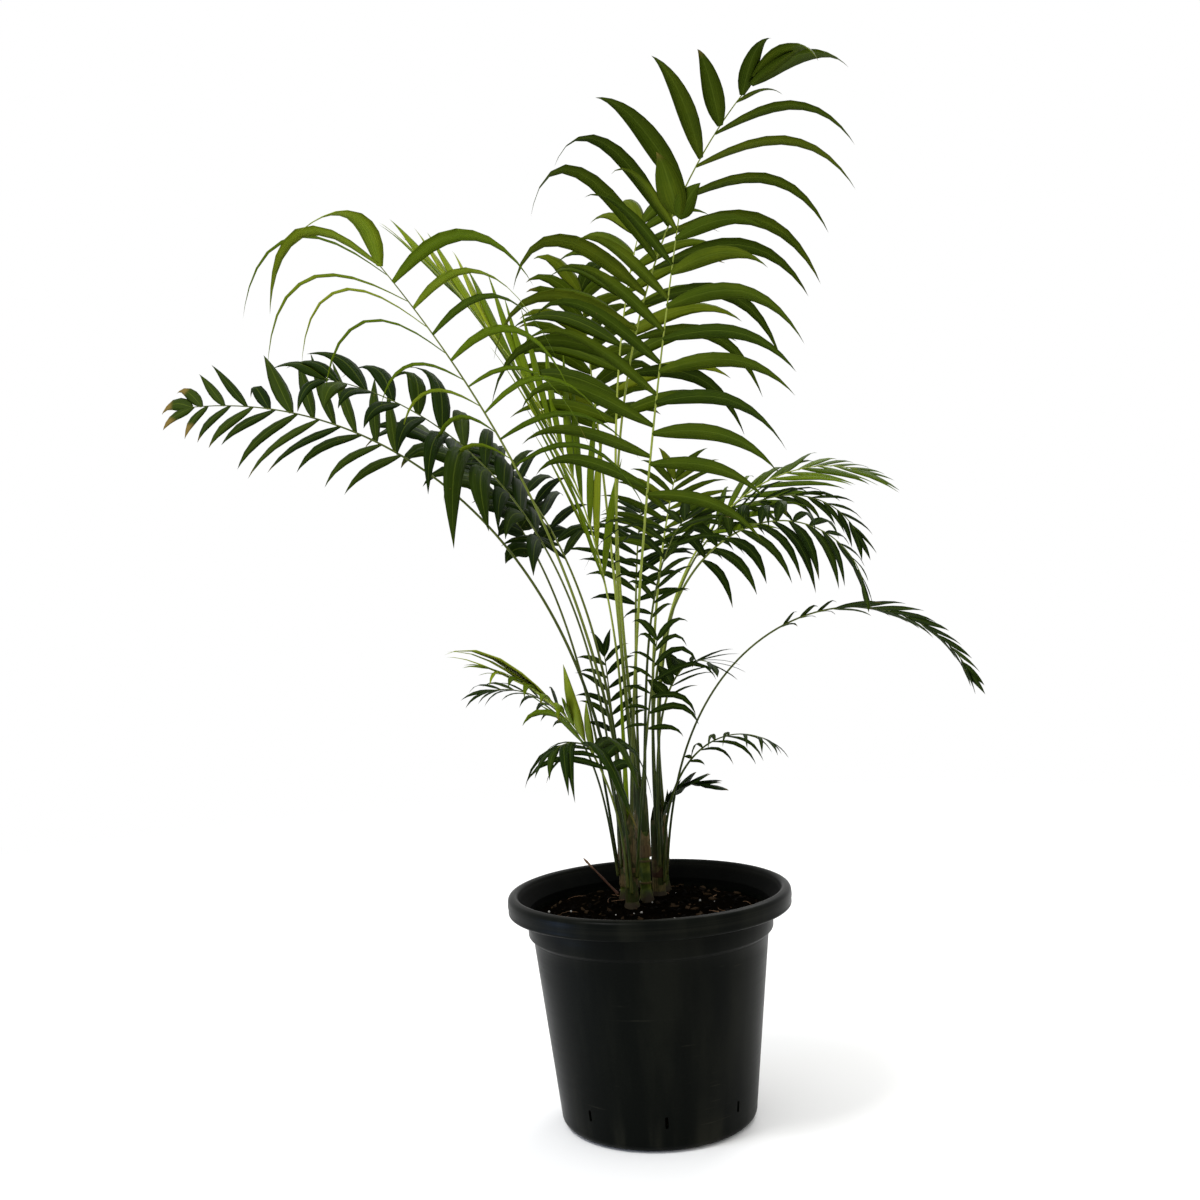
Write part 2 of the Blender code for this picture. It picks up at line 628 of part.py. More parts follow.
def main():
    clear_scene()
    home = new_collection("parlour_palm")
    cutters = new_collection("pot_cutters")
    fixed = [make_pot(home, cutters), make_soil(home)]
    fixed += [make_cane(cane, home) for cane in CANES]
    fixed += [make_spear(home), make_dead_stalk(home)]
    fixed += [make_stalk(frond, home) for frond in FRONDS]
    ribs = {frond.name: make_rib(frond, home) for frond in FRONDS}
    fixed_trees = [tree_of_object(item) for item in fixed]
    rib_trees = {name: tree_of_object(rib) for name, rib in ribs.items()}
    placed = []
    for frond in FRONDS:
        others = fixed_trees + [tree for name, tree in rib_trees.items() if name != frond.name]
        shapes, own = grow_leaflets(frond, others, placed)
        placed += own
        make_blade(frond, ribs[frond.name], shapes, home)


main()
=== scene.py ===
# Parlour palm in a nursery pot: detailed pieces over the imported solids, in the same metres and axes
import math
import random
from collections import namedtuple

import bmesh
import bpy
from mathutils import Euler, Matrix, Vector, noise


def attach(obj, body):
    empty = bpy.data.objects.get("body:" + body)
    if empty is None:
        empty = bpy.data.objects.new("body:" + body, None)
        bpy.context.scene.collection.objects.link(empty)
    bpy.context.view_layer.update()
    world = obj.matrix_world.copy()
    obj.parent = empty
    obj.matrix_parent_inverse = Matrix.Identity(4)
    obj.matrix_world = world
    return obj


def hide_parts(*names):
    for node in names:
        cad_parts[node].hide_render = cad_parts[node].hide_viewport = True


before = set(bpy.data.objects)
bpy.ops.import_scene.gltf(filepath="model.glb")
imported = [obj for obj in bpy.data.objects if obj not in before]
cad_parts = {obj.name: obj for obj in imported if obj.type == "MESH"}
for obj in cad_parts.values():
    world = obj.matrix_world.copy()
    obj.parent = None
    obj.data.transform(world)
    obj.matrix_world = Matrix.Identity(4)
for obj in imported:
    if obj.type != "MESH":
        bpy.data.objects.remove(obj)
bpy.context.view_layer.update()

up = Vector((0.0, 0.0, 1.0))
origin = (0.0, 0.0, 0.0)
wholeTurn = 6.28  # radians, where a turn is dealt out by chance


# small helpers for selecting, editing and joining

def startFresh():
    if bpy.context.object and bpy.context.object.mode != "OBJECT":
        bpy.ops.object.mode_set(mode="OBJECT")
    bpy.ops.object.select_all(action="DESELECT")


def pick(*pieces):
    # only these are selected, and the first one is active
    startFresh()
    for piece in pieces:
        piece.select_set(True)
    bpy.context.view_layer.objects.active = pieces[0]


def joinAll(pieces):
    pick(*pieces)
    bpy.ops.object.join()
    return bpy.context.object


def settle(piece, smoothAngle=None):
    # place, turn and scale go into the mesh
    pick(piece)
    bpy.ops.object.transform_apply(location=True, rotation=True, scale=True)
    if smoothAngle:
        bpy.ops.object.shade_smooth_by_angle(angle=math.radians(smoothAngle))
    piece.select_set(False)


def applyAll(piece):
    pick(piece)
    for item in list(piece.modifiers):
        bpy.ops.object.modifier_apply(modifier=item.name)
    piece.select_set(False)


def editAll():
    bpy.ops.object.mode_set(mode="EDIT")
    bpy.ops.mesh.select_all(action="SELECT")


def leaveEdit(outward=False):
    if outward:
        bpy.ops.mesh.select_all(action="SELECT")
        bpy.ops.mesh.normals_make_consistent(inside=False)
    bpy.ops.object.mode_set(mode="OBJECT")


def drawUp(rise, share, level):
    # the selected ring goes up, and is then drawn in or out to its share
    bpy.ops.mesh.extrude_region_move(TRANSFORM_OT_translate={"value": (0.0, 0.0, rise)})
    bpy.ops.transform.resize(value=(share, share, 1.0), center_override=(0.0, 0.0, level))


def finishWith(piece, name, finish, slotName, *nodes):
    piece.name = name
    piece.data.name = name
    piece.data.materials.clear()
    piece.data.materials.append(finish)
    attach(piece, "root")
    if nodes:
        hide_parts(*nodes)


# helpers for meshes that are grown by a rule

def bearing(degrees):
    turn = math.radians(degrees)
    return Vector((math.cos(turn), math.sin(turn), 0.0))


def addLayer(mesh, name, values, domain="POINT"):
    layer = mesh.attributes.new(name, "FLOAT", domain)
    layer.data.foreach_set("value", values)


def pieceOf(name, points, faces, layers, uv=None, under=None):
    # number layers lie on the points, the piece's own map and its underside mark on the face corners
    mesh = bpy.data.meshes.new(name)
    mesh.from_pydata(points, [], faces)
    if uv:
        uvMap = mesh.uv_layers.new(name="along")
        uvMap.data.foreach_set("uv", [number for pair in uv for number in pair])
        addLayer(mesh, "under", under, "CORNER")
    for key, values in layers.items():
        addLayer(mesh, key, values)
    shape = bmesh.new()
    shape.from_mesh(mesh)
    bmesh.ops.recalc_face_normals(shape, faces=shape.faces)
    shape.to_mesh(mesh)
    shape.free()
    piece = bpy.data.objects.new(name, mesh)
    bpy.context.scene.collection.objects.link(piece)
    return piece


def newStore():
    # what a joined mesh is made from: corners, faces and the number lists that its finish reads
    return {"points": [], "faces": [], "uv": [], "under": [], "shade": [], "tone": [], "age": []}


def addShape(store, points, faces, uvs, under, shade, tone, age):
    first = len(store["points"])
    store["points"] += [tuple(point) for point in points]
    for values, name in ((shade, "shade"), (tone, "tone"), (age, "age")):
        store[name] += values if isinstance(values, list) else [values] * len(points)
    for face, faceUv, below in zip(faces, uvs, under):
        store["faces"].append(tuple(first + corner for corner in face))
        store["uv"] += faceUv
        store["under"] += [below] * len(face)


def pieceFrom(store, name):
    layers = {key: store[key] for key in ("shade", "tone", "age")}
    piece = pieceOf(name, store["points"], store["faces"], layers, store["uv"], store["under"])
    piece.data.polygons.foreach_set("use_smooth", [True] * len(piece.data.polygons))
    return piece


def addTube(store, points, frames, radii, sides, flatten, shade, tones, ages):
    # a closed tube with one frame (along, right, face) per row: flatten presses the side that faces up
    pressedFrom = 0.3
    corners, tone, age = [], [], []
    for row, (point, (_, right, face), radius) in enumerate(zip(points, frames, radii)):
        for number in range(sides):
            turn = 2.0 * math.pi * number / sides
            rise = math.sin(turn)
            press = flatten if rise > pressedFrom else 1.0
            corners.append(point + right * math.cos(turn) * radius + face * rise * radius * press)
            tone.append(tones[row] if isinstance(tones, list) else tones)
            age.append(ages[row] if isinstance(ages, list) else ages)
    last = len(points) - 1
    faces = [tuple(range(sides - 1, -1, -1)), tuple(range(last * sides, last * sides + sides))]
    uvs = [[(number / sides, end) for number in range(sides)] for end in (0.0, 1.0)]
    for row in range(last):
        for number in range(sides):
            low = row * sides + number
            after = row * sides + (number + 1) % sides
            faces.append((low, after, after + sides, low + sides))
            start, stop = number / sides, (number + 1) / sides
            below, above = row / last, (row + 1) / last
            uvs.append([(start, below), (stop, below), (stop, above), (start, above)])
    addShape(store, corners, faces, uvs, [0.0] * len(faces), shade, tone, age)


def ease(value, table):
    # straight-line reading of a small table of (place, amount)
    for (low, first), (high, second) in zip(table, table[1:]):
        if value <= high:
            return first + (second - first) * max(0.0, value - low) / (high - low)
    return table[-1][1]


# helpers for finishes: each adds a node and gives back what comes out of it

def feed(tree, socket, value):
    # a link from another node, or a fixed value
    if isinstance(value, bpy.types.NodeSocket):
        tree.links.new(value, socket)
    else:
        socket.default_value = (*value, 1.0) if socket.type == "RGBA" else value


def addNode(tree, kind, settings=None, sockets=None):
    made = tree.nodes.new("ShaderNode" + kind)
    for key, value in (settings or {}).items():
        setattr(made, key, value)
    for key, value in (sockets or {}).items():
        feed(tree, made.inputs[key], value)
    return made


def calc(tree, operation, first, second=0.0, third=0.0):
    made = addNode(tree, "Math", {"operation": operation})
    for socket, value in zip(made.inputs, (first, second, third)):
        feed(tree, socket, value)
    return made.outputs[0]


def plus(tree, value, times, rest):
    # value times times, plus the rest
    return calc(tree, "MULTIPLY_ADD", value, times, rest)


def mixColour(tree, share, first, second):
    made = addNode(tree, "Mix", {"data_type": "RGBA", "clamp_factor": True}, {0: share, 6: first, 7: second})
    return made.outputs[2]


def between(tree, value, low, high, first=0.0, second=1.0):
    made = addNode(tree, "MapRange", {"interpolation_type": "SMOOTHSTEP"})
    for socket, number in zip(made.inputs, (value, low, high, first, second)):
        feed(tree, socket, number)
    return made.outputs[0]


def layOver(tree, colour, value, mark, coat):
    # a mark is where the coat starts and ends, and how much it covers at both
    return mixColour(tree, between(tree, value, *mark), colour, coat)


def grain(tree, vector, scale, detail=3.0, roughness=0.55):
    sockets = {"Vector": vector, "Scale": scale, "Detail": detail, "Roughness": roughness}
    return addNode(tree, "TexNoise", {}, sockets).outputs["Fac"]


def stretch(tree, vector, scale, turn=origin):
    made = addNode(tree, "Mapping", {}, {"Vector": vector, "Scale": scale, "Rotation": turn})
    return made.outputs["Vector"]


def streakGrain(tree, vector, scale, detail, turn=origin):
    # a grain drawn out by its scale
    return grain(tree, stretch(tree, vector, scale, turn), 1.0, detail)


def attribute(tree, name):
    return addNode(tree, "Attribute", {"attribute_name": name}).outputs["Fac"]


def objectPlace(tree):
    return addNode(tree, "TexCoord").outputs["Object"]


def ownMap(tree):
    return addNode(tree, "UVMap", {"uv_map": "along"}).outputs["UV"]


def heightOf(tree, place):
    return addNode(tree, "SeparateXYZ", {}, {"Vector": place}).outputs["Z"]


def lengthOf(tree, place):
    return addNode(tree, "VectorMath", {"operation": "LENGTH"}, {0: place}).outputs["Value"]


def newFinish(name, specular):
    finish = bpy.data.materials.new(name)
    finish.use_nodes = True
    shader = finish.node_tree.nodes["Principled BSDF"]
    shader.inputs["Specular IOR Level"].default_value = specular
    return finish, finish.node_tree, shader


def endFinish(tree, shader, colour, roughness, relief, strength, depth):
    bump = addNode(tree, "Bump", {}, {"Strength": strength, "Distance": depth, "Height": relief})
    feed(tree, shader.inputs["Base Color"], colour)
    feed(tree, shader.inputs["Roughness"], roughness)
    feed(tree, shader.inputs["Normal"], bump.outputs["Normal"])


# leaf finishes: shade deals the light and deep greens out by leaflet, as painted sunlight and painted shade

# deep, plain and sunlit greens are painted shade and painted light, standing in for sun shining through the
# leaflets
leafLook = {
    "bright": {"deep": (0.032, 0.062, 0.001), "plain": (0.100, 0.155, 0.003),
               "sunlit": (0.250, 0.295, 0.018)},
    "mid": {"deep": (0.0110, 0.0240, 0.0008), "plain": (0.034, 0.056, 0.0012),
            "sunlit": (0.105, 0.130, 0.005)},
    "dark": {"deep": (0.0030, 0.0085, 0.0008), "plain": (0.0075, 0.0180, 0.0012),
             "sunlit": (0.026, 0.044, 0.003)},
    "midrib": (0.11, 0.15, 0.015), "driedTip": (0.150, 0.105, 0.026), "underside": (0.030, 0.052, 0.006),
    "specular": 0.022, "veins": 9.0, "mottle": 38.0, "fine": 600.0, "spots": 210.0, "streaksAcross": 26.0,
    "streaksAlong": 2.2, "streaksByLeaflet": 40.0, "leastLight": 0.13, "shadeLight": 0.62,
    "streakLight": 0.40, "mottleLight": 0.22, "plainMark": (0.38, 0.78), "sunlitMark": (0.74, 1.12),
    "veinMark": (0.55, 1.0, 0.0, 0.22), "ribMark": (0.012, 0.045, 0.34, 0.0),
    "rimMark": (0.475, 0.5, 0.0, 0.10), "spotMark": (0.77, 0.82, 0.0, 0.4), "undersideShare": 0.22,
    "driedMark": (0.86, 1.02), "driedUneven": 0.10, "driedReach": 0.32, "driedPower": 4.0,
    "roughness": 0.37, "mottleRough": 0.22, "undersideRough": 0.14, "driedRough": 0.25,
    "veinRelief": 0.30, "fineRelief": 0.08, "streakRelief": 0.5, "ribRelief": 1.5, "bump": (0.35, 0.0004),
}


def leafFinish(tone):
    look = leafLook
    finish, tree, shader = newFinish("leaf " + tone, look["specular"])
    leaflet = addNode(tree, "SeparateXYZ", {}, {"Vector": ownMap(tree)})
    across, along = leaflet.outputs["X"], leaflet.outputs["Y"]
    place = objectPlace(tree)
    shade = attribute(tree, "shade")
    fromRib = calc(tree, "ABSOLUTE", calc(tree, "SUBTRACT", across, 0.5))
    mottle = grain(tree, place, look["mottle"], 2.0)
    fine = grain(tree, place, look["fine"], 2.0)
    streakPlace = addNode(tree, "CombineXYZ", {}, {
        "X": calc(tree, "MULTIPLY", across, look["streaksAcross"]),
        "Y": calc(tree, "MULTIPLY", along, look["streaksAlong"]),
        "Z": calc(tree, "MULTIPLY", shade, look["streaksByLeaflet"])})
    streak = grain(tree, streakPlace.outputs[0], 1.0)
    veins = calc(tree, "SINE", calc(tree, "MULTIPLY", across, look["veins"] * 2.0 * math.pi))
    light = plus(tree, shade, look["shadeLight"], look["leastLight"])
    light = plus(tree, mottle, look["mottleLight"], plus(tree, streak, look["streakLight"], light))
    # painted shade in the deep green up to painted sunlight in the sunlit one, then the veins, the midrib,
    # the pale underside and the dried tip
    greens = look[tone]
    colour = layOver(tree, greens["deep"], light, look["plainMark"], greens["plain"])
    colour = layOver(tree, colour, light, look["sunlitMark"], greens["sunlit"])
    colour = layOver(tree, colour, veins, look["veinMark"], greens["sunlit"])
    rib = between(tree, fromRib, *look["ribMark"])
    colour = mixColour(tree, rib, colour, look["midrib"])
    colour = layOver(tree, colour, fromRib, look["rimMark"], look["midrib"])
    below = attribute(tree, "under")
    colour = mixColour(tree, calc(tree, "MULTIPLY", below, look["undersideShare"]), colour, look["underside"])
    age = attribute(tree, "age")
    dried = plus(tree, calc(tree, "SUBTRACT", streak, 0.5), look["driedUneven"], along)
    dried = plus(tree, calc(tree, "POWER", age, look["driedPower"]), look["driedReach"], dried)
    dried = calc(tree, "MULTIPLY", between(tree, dried, *look["driedMark"]), age)
    colour = mixColour(tree, dried, colour, look["driedTip"])
    spots = grain(tree, place, look["spots"], 1.0)
    colour = layOver(tree, colour, spots, look["spotMark"], look["driedTip"])
    rough = plus(tree, mottle, look["mottleRough"], look["roughness"])
    rough = plus(tree, below, look["undersideRough"], rough)
    rough = plus(tree, dried, look["driedRough"], rough)
    relief = plus(tree, veins, look["veinRelief"], calc(tree, "MULTIPLY", fine, look["fineRelief"]))
    relief = plus(tree, rib, look["ribRelief"], plus(tree, streak, look["streakRelief"], relief))
    endFinish(tree, shader, colour, rough, relief, *look["bump"])
    return finish


# stalk, cane, sheath and dead stalk finishes

fibreBrown = (0.020, 0.008, 0.0035)
stalkLook = {
    "dark": (0.010, 0.020, 0.002), "light": (0.290, 0.345, 0.050), "foot": (0.050, 0.050, 0.010),
    "specular": 0.10, "streaks": (9.0, 14.0, 1.0), "streakLight": 0.8, "mottle": 120.0,
    "mottleMark": (0.55, 0.8, 0.0, 0.35), "footMark": (0.35, 0.62), "roughness": 0.30,
    "streakRough": 0.25, "mottleRelief": 0.3, "bump": (0.35, 0.0003),
}
caneLook = {
    "green": (0.022, 0.036, 0.004), "yellow": (0.072, 0.086, 0.010), "scar": (0.060, 0.040, 0.016),
    "darkCaneFoot": (0.022, 0.014, 0.009), "specular": 0.10, "streaks": (420.0, 420.0, 26.0), "mottle": 90.0,
    "specks": 520.0, "yellowMark": (0.40, 0.66), "greenMark": (0.50, 0.70, 0.0, 0.55),
    "speckMark": (0.66, 0.74, 0.0, 0.6), "scarMark": (0.25, 0.9, 0.0, 0.85),
    "darkCaneFootMark": (0.216, 0.226, 0.9, 0.0), "darkCaneFootUneven": 0.016, "roughness": 0.38, "mottleRough": 0.3,
    "streakRelief": 0.6, "bump": (0.5, 0.0005),
}
sheathLook = {
    "green": (0.016, 0.027, 0.004), "tan": (0.120, 0.085, 0.034), "specular": 0.08,
    "streaks": (900.0, 900.0, 22.0), "mottle": 110.0, "mottleLight": 1.1, "tanMark": (0.1, 0.7),
    "fibreMark": (0.48, 0.62, 0.0, 0.65), "roughness": 0.5, "streakRough": 0.3, "bump": (0.7, 0.0006),
}
dryLook = {
    "light": (0.130, 0.075, 0.040), "dark": (0.034, 0.014, 0.008), "specular": 0.08,
    "streaks": (7.0, 9.0, 1.0), "mottle": 160.0, "streakLight": 0.9, "lightMark": (0.45, 1.25),
    "darkMark": (0.6, 0.75, 0.0, 0.5), "roughness": 0.8, "mottleRelief": 0.5, "bump": (0.8, 0.0006),
}


def stalkFinish():
    look = stalkLook
    finish, tree, shader = newFinish("frond stalk", look["specular"])
    streak = streakGrain(tree, ownMap(tree), look["streaks"], 4.0)
    mottle = grain(tree, objectPlace(tree), look["mottle"])
    light = plus(tree, calc(tree, "SUBTRACT", streak, 0.5), look["streakLight"], attribute(tree, "tone"))
    colour = layOver(tree, look["dark"], light, (0.0, 1.0), look["light"])
    colour = layOver(tree, colour, mottle, look["mottleMark"], look["dark"])
    foot = calc(tree, "MULTIPLY", attribute(tree, "age"), between(tree, streak, *look["footMark"]))
    colour = mixColour(tree, foot, colour, look["foot"])
    rough = plus(tree, streak, look["streakRough"], look["roughness"])
    endFinish(tree, shader, colour, rough, plus(tree, mottle, look["mottleRelief"], streak), *look["bump"])
    return finish


def caneFinish():
    look = caneLook
    finish, tree, shader = newFinish("cane skin", look["specular"])
    place = objectPlace(tree)
    streak = streakGrain(tree, place, look["streaks"], 4.0)
    mottle = grain(tree, place, look["mottle"], 5.0)
    specks = grain(tree, place, look["specks"], 2.0)
    colour = layOver(tree, look["green"], mottle, look["yellowMark"], look["yellow"])
    colour = layOver(tree, colour, streak, look["greenMark"], look["green"])
    colour = layOver(tree, colour, specks, look["speckMark"], fibreBrown)
    colour = layOver(tree, colour, attribute(tree, "ring"), look["scarMark"], look["scar"])
    # the canes turn darker towards the soil
    height = plus(tree, mottle, look["darkCaneFootUneven"], heightOf(tree, place))
    colour = layOver(tree, colour, height, look["darkCaneFootMark"], look["darkCaneFoot"])
    rough = plus(tree, mottle, look["mottleRough"], look["roughness"])
    endFinish(tree, shader, colour, rough, plus(tree, streak, look["streakRelief"], mottle), *look["bump"])
    return finish


def sheathFinish():
    look = sheathLook
    finish, tree, shader = newFinish("leaf sheath", look["specular"])
    place = objectPlace(tree)
    streak = streakGrain(tree, place, look["streaks"], 3.0)
    mottle = grain(tree, place, look["mottle"], 4.0)
    light = plus(tree, calc(tree, "SUBTRACT", mottle, 0.5), look["mottleLight"], attribute(tree, "tone"))
    colour = layOver(tree, look["green"], light, look["tanMark"], look["tan"])
    colour = layOver(tree, colour, streak, look["fibreMark"], fibreBrown)
    colour = mixColour(tree, attribute(tree, "age"), colour, fibreBrown)
    rough = plus(tree, streak, look["streakRough"], look["roughness"])
    endFinish(tree, shader, colour, rough, streak, *look["bump"])
    return finish


def dryFinish():
    look = dryLook
    finish, tree, shader = newFinish("dead stalk", look["specular"])
    streak = streakGrain(tree, ownMap(tree), look["streaks"], 4.0)
    mottle = grain(tree, objectPlace(tree), look["mottle"])
    light = plus(tree, streak, look["streakLight"], attribute(tree, "tone"))
    colour = layOver(tree, look["dark"], light, look["lightMark"], look["light"])
    colour = layOver(tree, colour, mottle, look["darkMark"], look["dark"])
    relief = plus(tree, mottle, look["mottleRelief"], streak)
    endFinish(tree, shader, colour, look["roughness"], relief, *look["bump"])
    return finish


# camera, light and floor

photoCamera = {
    "place": (-0.034, -1.379, 0.5325), "downDegrees": 0.842, "rollDegrees": -2.865, "lens": 42.0,
    "sensor": 36.0,
}
lamps = {
    "key": {"place": (-1.3, -1.0, 2.6), "target": (-0.05, 0.0, 0.55), "size": 0.7, "power": 40.0,
            "colour": (1.0, 1.0, 1.0)},
    "low": {"place": (-1.1, -0.30, 0.12), "target": (0.0, 0.0, 0.10), "size": 0.35, "power": 4.0,
            "colour": (0.30, 0.50, 1.0)},
    "back": {"place": (0.9, 1.7, 2.3), "target": (-0.05, 0.0, 0.55), "size": 1.2, "power": 22.0,
             "colour": (1.0, 1.0, 1.0)},
}
studio = {
    "skyColour": (1.0, 1.0, 1.0), "skyStrength": 1.0, "floorColour": (0.93, 0.93, 0.92),
    "floorDarker": 0.985, "floorSize": 14.0, "floorMottle": 3.0, "floorFades": (0.7, 2.2),
    "floorRoughness": 0.9, "floorSpecular": 0.1,
}


def addLamp(name, lamp):
    bpy.ops.object.light_add(type="AREA", location=lamp["place"])
    made = bpy.context.object
    made.name = name
    made.data.size = lamp["size"]
    made.data.energy = lamp["power"]
    made.data.color = lamp["colour"]
    made.rotation_euler = (Vector(lamp["target"]) - Vector(lamp["place"])).to_track_quat("-Z", "Y").to_euler()


def addCamera():
    view = photoCamera
    bpy.ops.object.camera_add(location=view["place"])
    camera = bpy.context.object
    camera.name = "photo camera"
    camera.data.lens = view["lens"]
    camera.data.sensor_width = view["sensor"]
    level = Euler((math.radians(90.0 - view["downDegrees"]), 0.0, 0.0)).to_matrix()
    roll = Matrix.Rotation(math.radians(view["rollDegrees"]), 3, "Z")
    camera.rotation_euler = (level @ roll).to_euler()
    bpy.context.scene.camera = camera


def addFloor():
    look = studio
    startFresh()
    bpy.ops.mesh.primitive_plane_add(size=look["floorSize"], location=origin)
    floor = bpy.context.object
    floor.name = "pale_floor"
    finish, tree, shader = newFinish("pale floor", look["floorSpecular"])
    place = objectPlace(tree)
    darker = tuple(look["floorDarker"] * part for part in look["floorColour"])
    mottle = grain(tree, place, look["floorMottle"])
    feed(tree, shader.inputs["Base Color"], mixColour(tree, mottle, look["floorColour"], darker))
    shader.inputs["Roughness"].default_value = look["floorRoughness"]
    # away from the pot the floor turns into the sky's white
    glow = addNode(tree, "Emission", {}, {"Color": look["skyColour"], "Strength": look["skyStrength"]})
    fade = between(tree, lengthOf(tree, place), *look["floorFades"])
    mixed = addNode(tree, "MixShader", {}, {0: fade, 1: shader.outputs[0], 2: glow.outputs[0]})
    output = next(node for node in tree.nodes if node.type == "OUTPUT_MATERIAL")
    tree.links.new(mixed.outputs[0], output.inputs["Surface"])
    floor.data.materials.append(finish)


def makeStudio():
    startFresh()
    addCamera()
    world = bpy.data.worlds.new("soft sky")
    bpy.context.scene.world = world
    world.use_nodes = True
    sky = world.node_tree.nodes["Background"]
    sky.inputs["Color"].default_value = (*studio["skyColour"], 1.0)
    sky.inputs["Strength"].default_value = studio["skyStrength"]
    for name, lamp in lamps.items():
        addLamp(name, lamp)
    addFloor()
    bpy.context.scene.view_settings.view_transform = "Standard"


makeStudio()
print("stage: camera, lights and floor")


# pot: a profile drawn by extruding one corner, then spun

potShape = {
    "height": 0.227, "lipRadius": 0.140, "lipHeight": 0.019, "lipWidth": 0.011, "lipBead": 0.0048,
    "lipGap": 0.0006, "collarRadius": 0.1210, "collarHeight": 0.024, "ledgeStep": 0.0025,
    "baseRadius": 0.0965, "baseRounding": 0.010, "footRounding": 0.0090, "wall": 0.0022, "steps": 112,
    "insideLevels": (0.05, 0.09, 0.13),
    "outsideLevels": (0.170, 0.150, 0.120, 0.090, 0.060, 0.035, 0.018), "insideFloor": 0.040,
    "belowLedge": 0.004, "aboveCollar": 0.002, "lipShoulder": 0.45, "shoulderDown": 0.0050,
    # rounds: from one angle to the other, in so many steps
    "beadInside": (172.0, 88.0, 6), "beadOutside": (78.0, 8.0, 7), "hemTurn": (10.0, -82.0, 5),
    "footTurn": (-8.0, -84.0, 6), "footLower": 0.0004,
    # small steps out and up, from the lip's outer top, its lower edge, the collar's top and the ledge
    "lipFall": ((-0.0002, -0.010), (-0.0009, -0.0140)), "lipHem": 0.0026, "lipHemIn": 0.0032,
    "lipUnder": ((-0.0052, 0.0006), (-0.0060, 0.0030)),
    "collarTop": ((0.0022, 0.0034), (0.0005, 0.0020), (0.0, -0.001), (-0.0002, -0.010)),
    "collarFoot": ((-0.0004, 0.0012), (-0.0009, 0.0), (-0.0016, -0.0008)),
    "ledgeUnder": ((0.0006, 0.0009), (0.0, 0.0)), "standing": ((0.0, 0.0), (-0.002, 0.0008)),
    "underside": ((0.060, 0.0008), (0.059, 0.0016), (0.0, 0.0016)), "slots": 8, "slotWidth": 0.003,
    "slotHeight": 0.011, "slotLevel": 0.030, "slotTurn": 2.0, "slotRounding": 0.35, "smooth": 32.0,
}
potLook = {
    "black": (0.0016, 0.0022, 0.0015), "worn": (0.0050, 0.0056, 0.0038), "dust": (0.024, 0.023, 0.016),
    # the inside's black is painted shade in the pot's hollow, mixed in above the soil
    "insideShadeBlack": (0.0006, 0.0008, 0.0006), "specular": 0.036, "roughness": 0.20,
    "flow": (30.0, 30.0, 3.0), "hoops": (2.0, 2.0, 420.0), "cloud": 14.0, "fine": 900.0,
    "scratches": (18.0, 18.0, 420.0), "scratchTurn": (0.5, 0.35, 0.0), "wornMark": (0.42, 0.68),
    "cloudMark": (0.48, 0.72, 0.0, 0.55), "scuffMark": (0.66, 0.72), "scuffCloud": (0.50, 0.62),
    "scuffShare": 0.5, "footMark": (0.004, 0.040, 0.30, 0.0), "footFlow": (0.45, 0.65),
    "lipMark": (0.208, 0.226, 0.0, 0.28), "lipHoops": (0.45, 0.66),
    "insideReach": (0.126, 0.132, 1.0, 0.0), "insideAbove": (0.203, 0.206), "insideShadeShare": 0.8,
    "cloudRough": 0.20, "insideRough": 0.5, "scuffRough": 0.2, "hoopRough": 0.10, "hoopRelief": 0.45,
    "fineRelief": 0.5, "flowRelief": 0.5, "bump": (0.22, 0.0005),
}
soilLevel = 0.205


def wallRadius(height):
    shape = potShape
    ledge = shape["height"] - shape["lipHeight"] - shape["collarHeight"]
    share = (height - shape["baseRounding"]) / (ledge - shape["baseRounding"])
    widest = shape["collarRadius"] - 2 * shape["ledgeStep"]
    return shape["baseRadius"] + (widest - shape["baseRadius"]) * share


def arc(centre, radius, start, end, count):
    # part of a circle in the profile's plane, from one angle to the other
    found = []
    for step in range(count + 1):
        turn = math.radians(start + (end - start) * step / count)
        found.append((centre[0] + radius * math.cos(turn), centre[1] + radius * math.sin(turn)))
    return found


def near(radius, level, steps):
    return [(radius + out, level + rise) for out, rise in steps]


def potProfile():
    shape = potShape
    top, wall, step = shape["height"], shape["wall"], shape["ledgeStep"]
    lip, collar, rounding = shape["lipRadius"], shape["collarRadius"], shape["baseRounding"]
    bead, gap, hem, foot = shape["lipBead"], shape["lipGap"], shape["lipHem"], shape["footRounding"]
    lipLow = top - shape["lipHeight"]
    ledge = lipLow - shape["collarHeight"]
    lipInside = lip - shape["lipWidth"]
    stand = shape["baseRadius"] - rounding
    inside = [(0.0, wall), (shape["insideFloor"], wall), (stand, wall),
              (wallRadius(rounding) - wall, rounding)]
    inside += [(wallRadius(level) - wall, level) for level in shape["insideLevels"]]
    bend = ledge - shape["belowLedge"]
    inside += [(wallRadius(bend) - wall, bend), (collar - wall, ledge + step),
               (collar - wall, lipLow + shape["aboveCollar"]),
               (collar + step, lipLow + shape["lipShoulder"] * shape["lipHeight"]),
               (lipInside - gap, top - shape["shoulderDown"])]
    # the rolled lip: a full round over the top, a straight fall and a turned-in lower edge
    inside += arc((lipInside + bead, top - bead), bead, *shape["beadInside"])
    outside = arc((lip - bead - gap, top - bead - gap), bead, *shape["beadOutside"])
    outside += near(lip, top, shape["lipFall"])
    outside += arc((lip - shape["lipHemIn"], lipLow + hem), hem, *shape["hemTurn"])
    outside += near(lip, lipLow, shape["lipUnder"]) + near(collar, lipLow, shape["collarTop"])
    outside += near(collar, ledge + step, shape["collarFoot"])
    outside += near(wallRadius(ledge), ledge, shape["ledgeUnder"])
    outside += [(wallRadius(level), level) for level in (*shape["outsideLevels"], rounding)]
    outside += arc((wallRadius(rounding) - foot, rounding - shape["footLower"]), foot, *shape["footTurn"])
    return inside + outside + near(stand, 0.0, shape["standing"]) + list(shape["underside"])


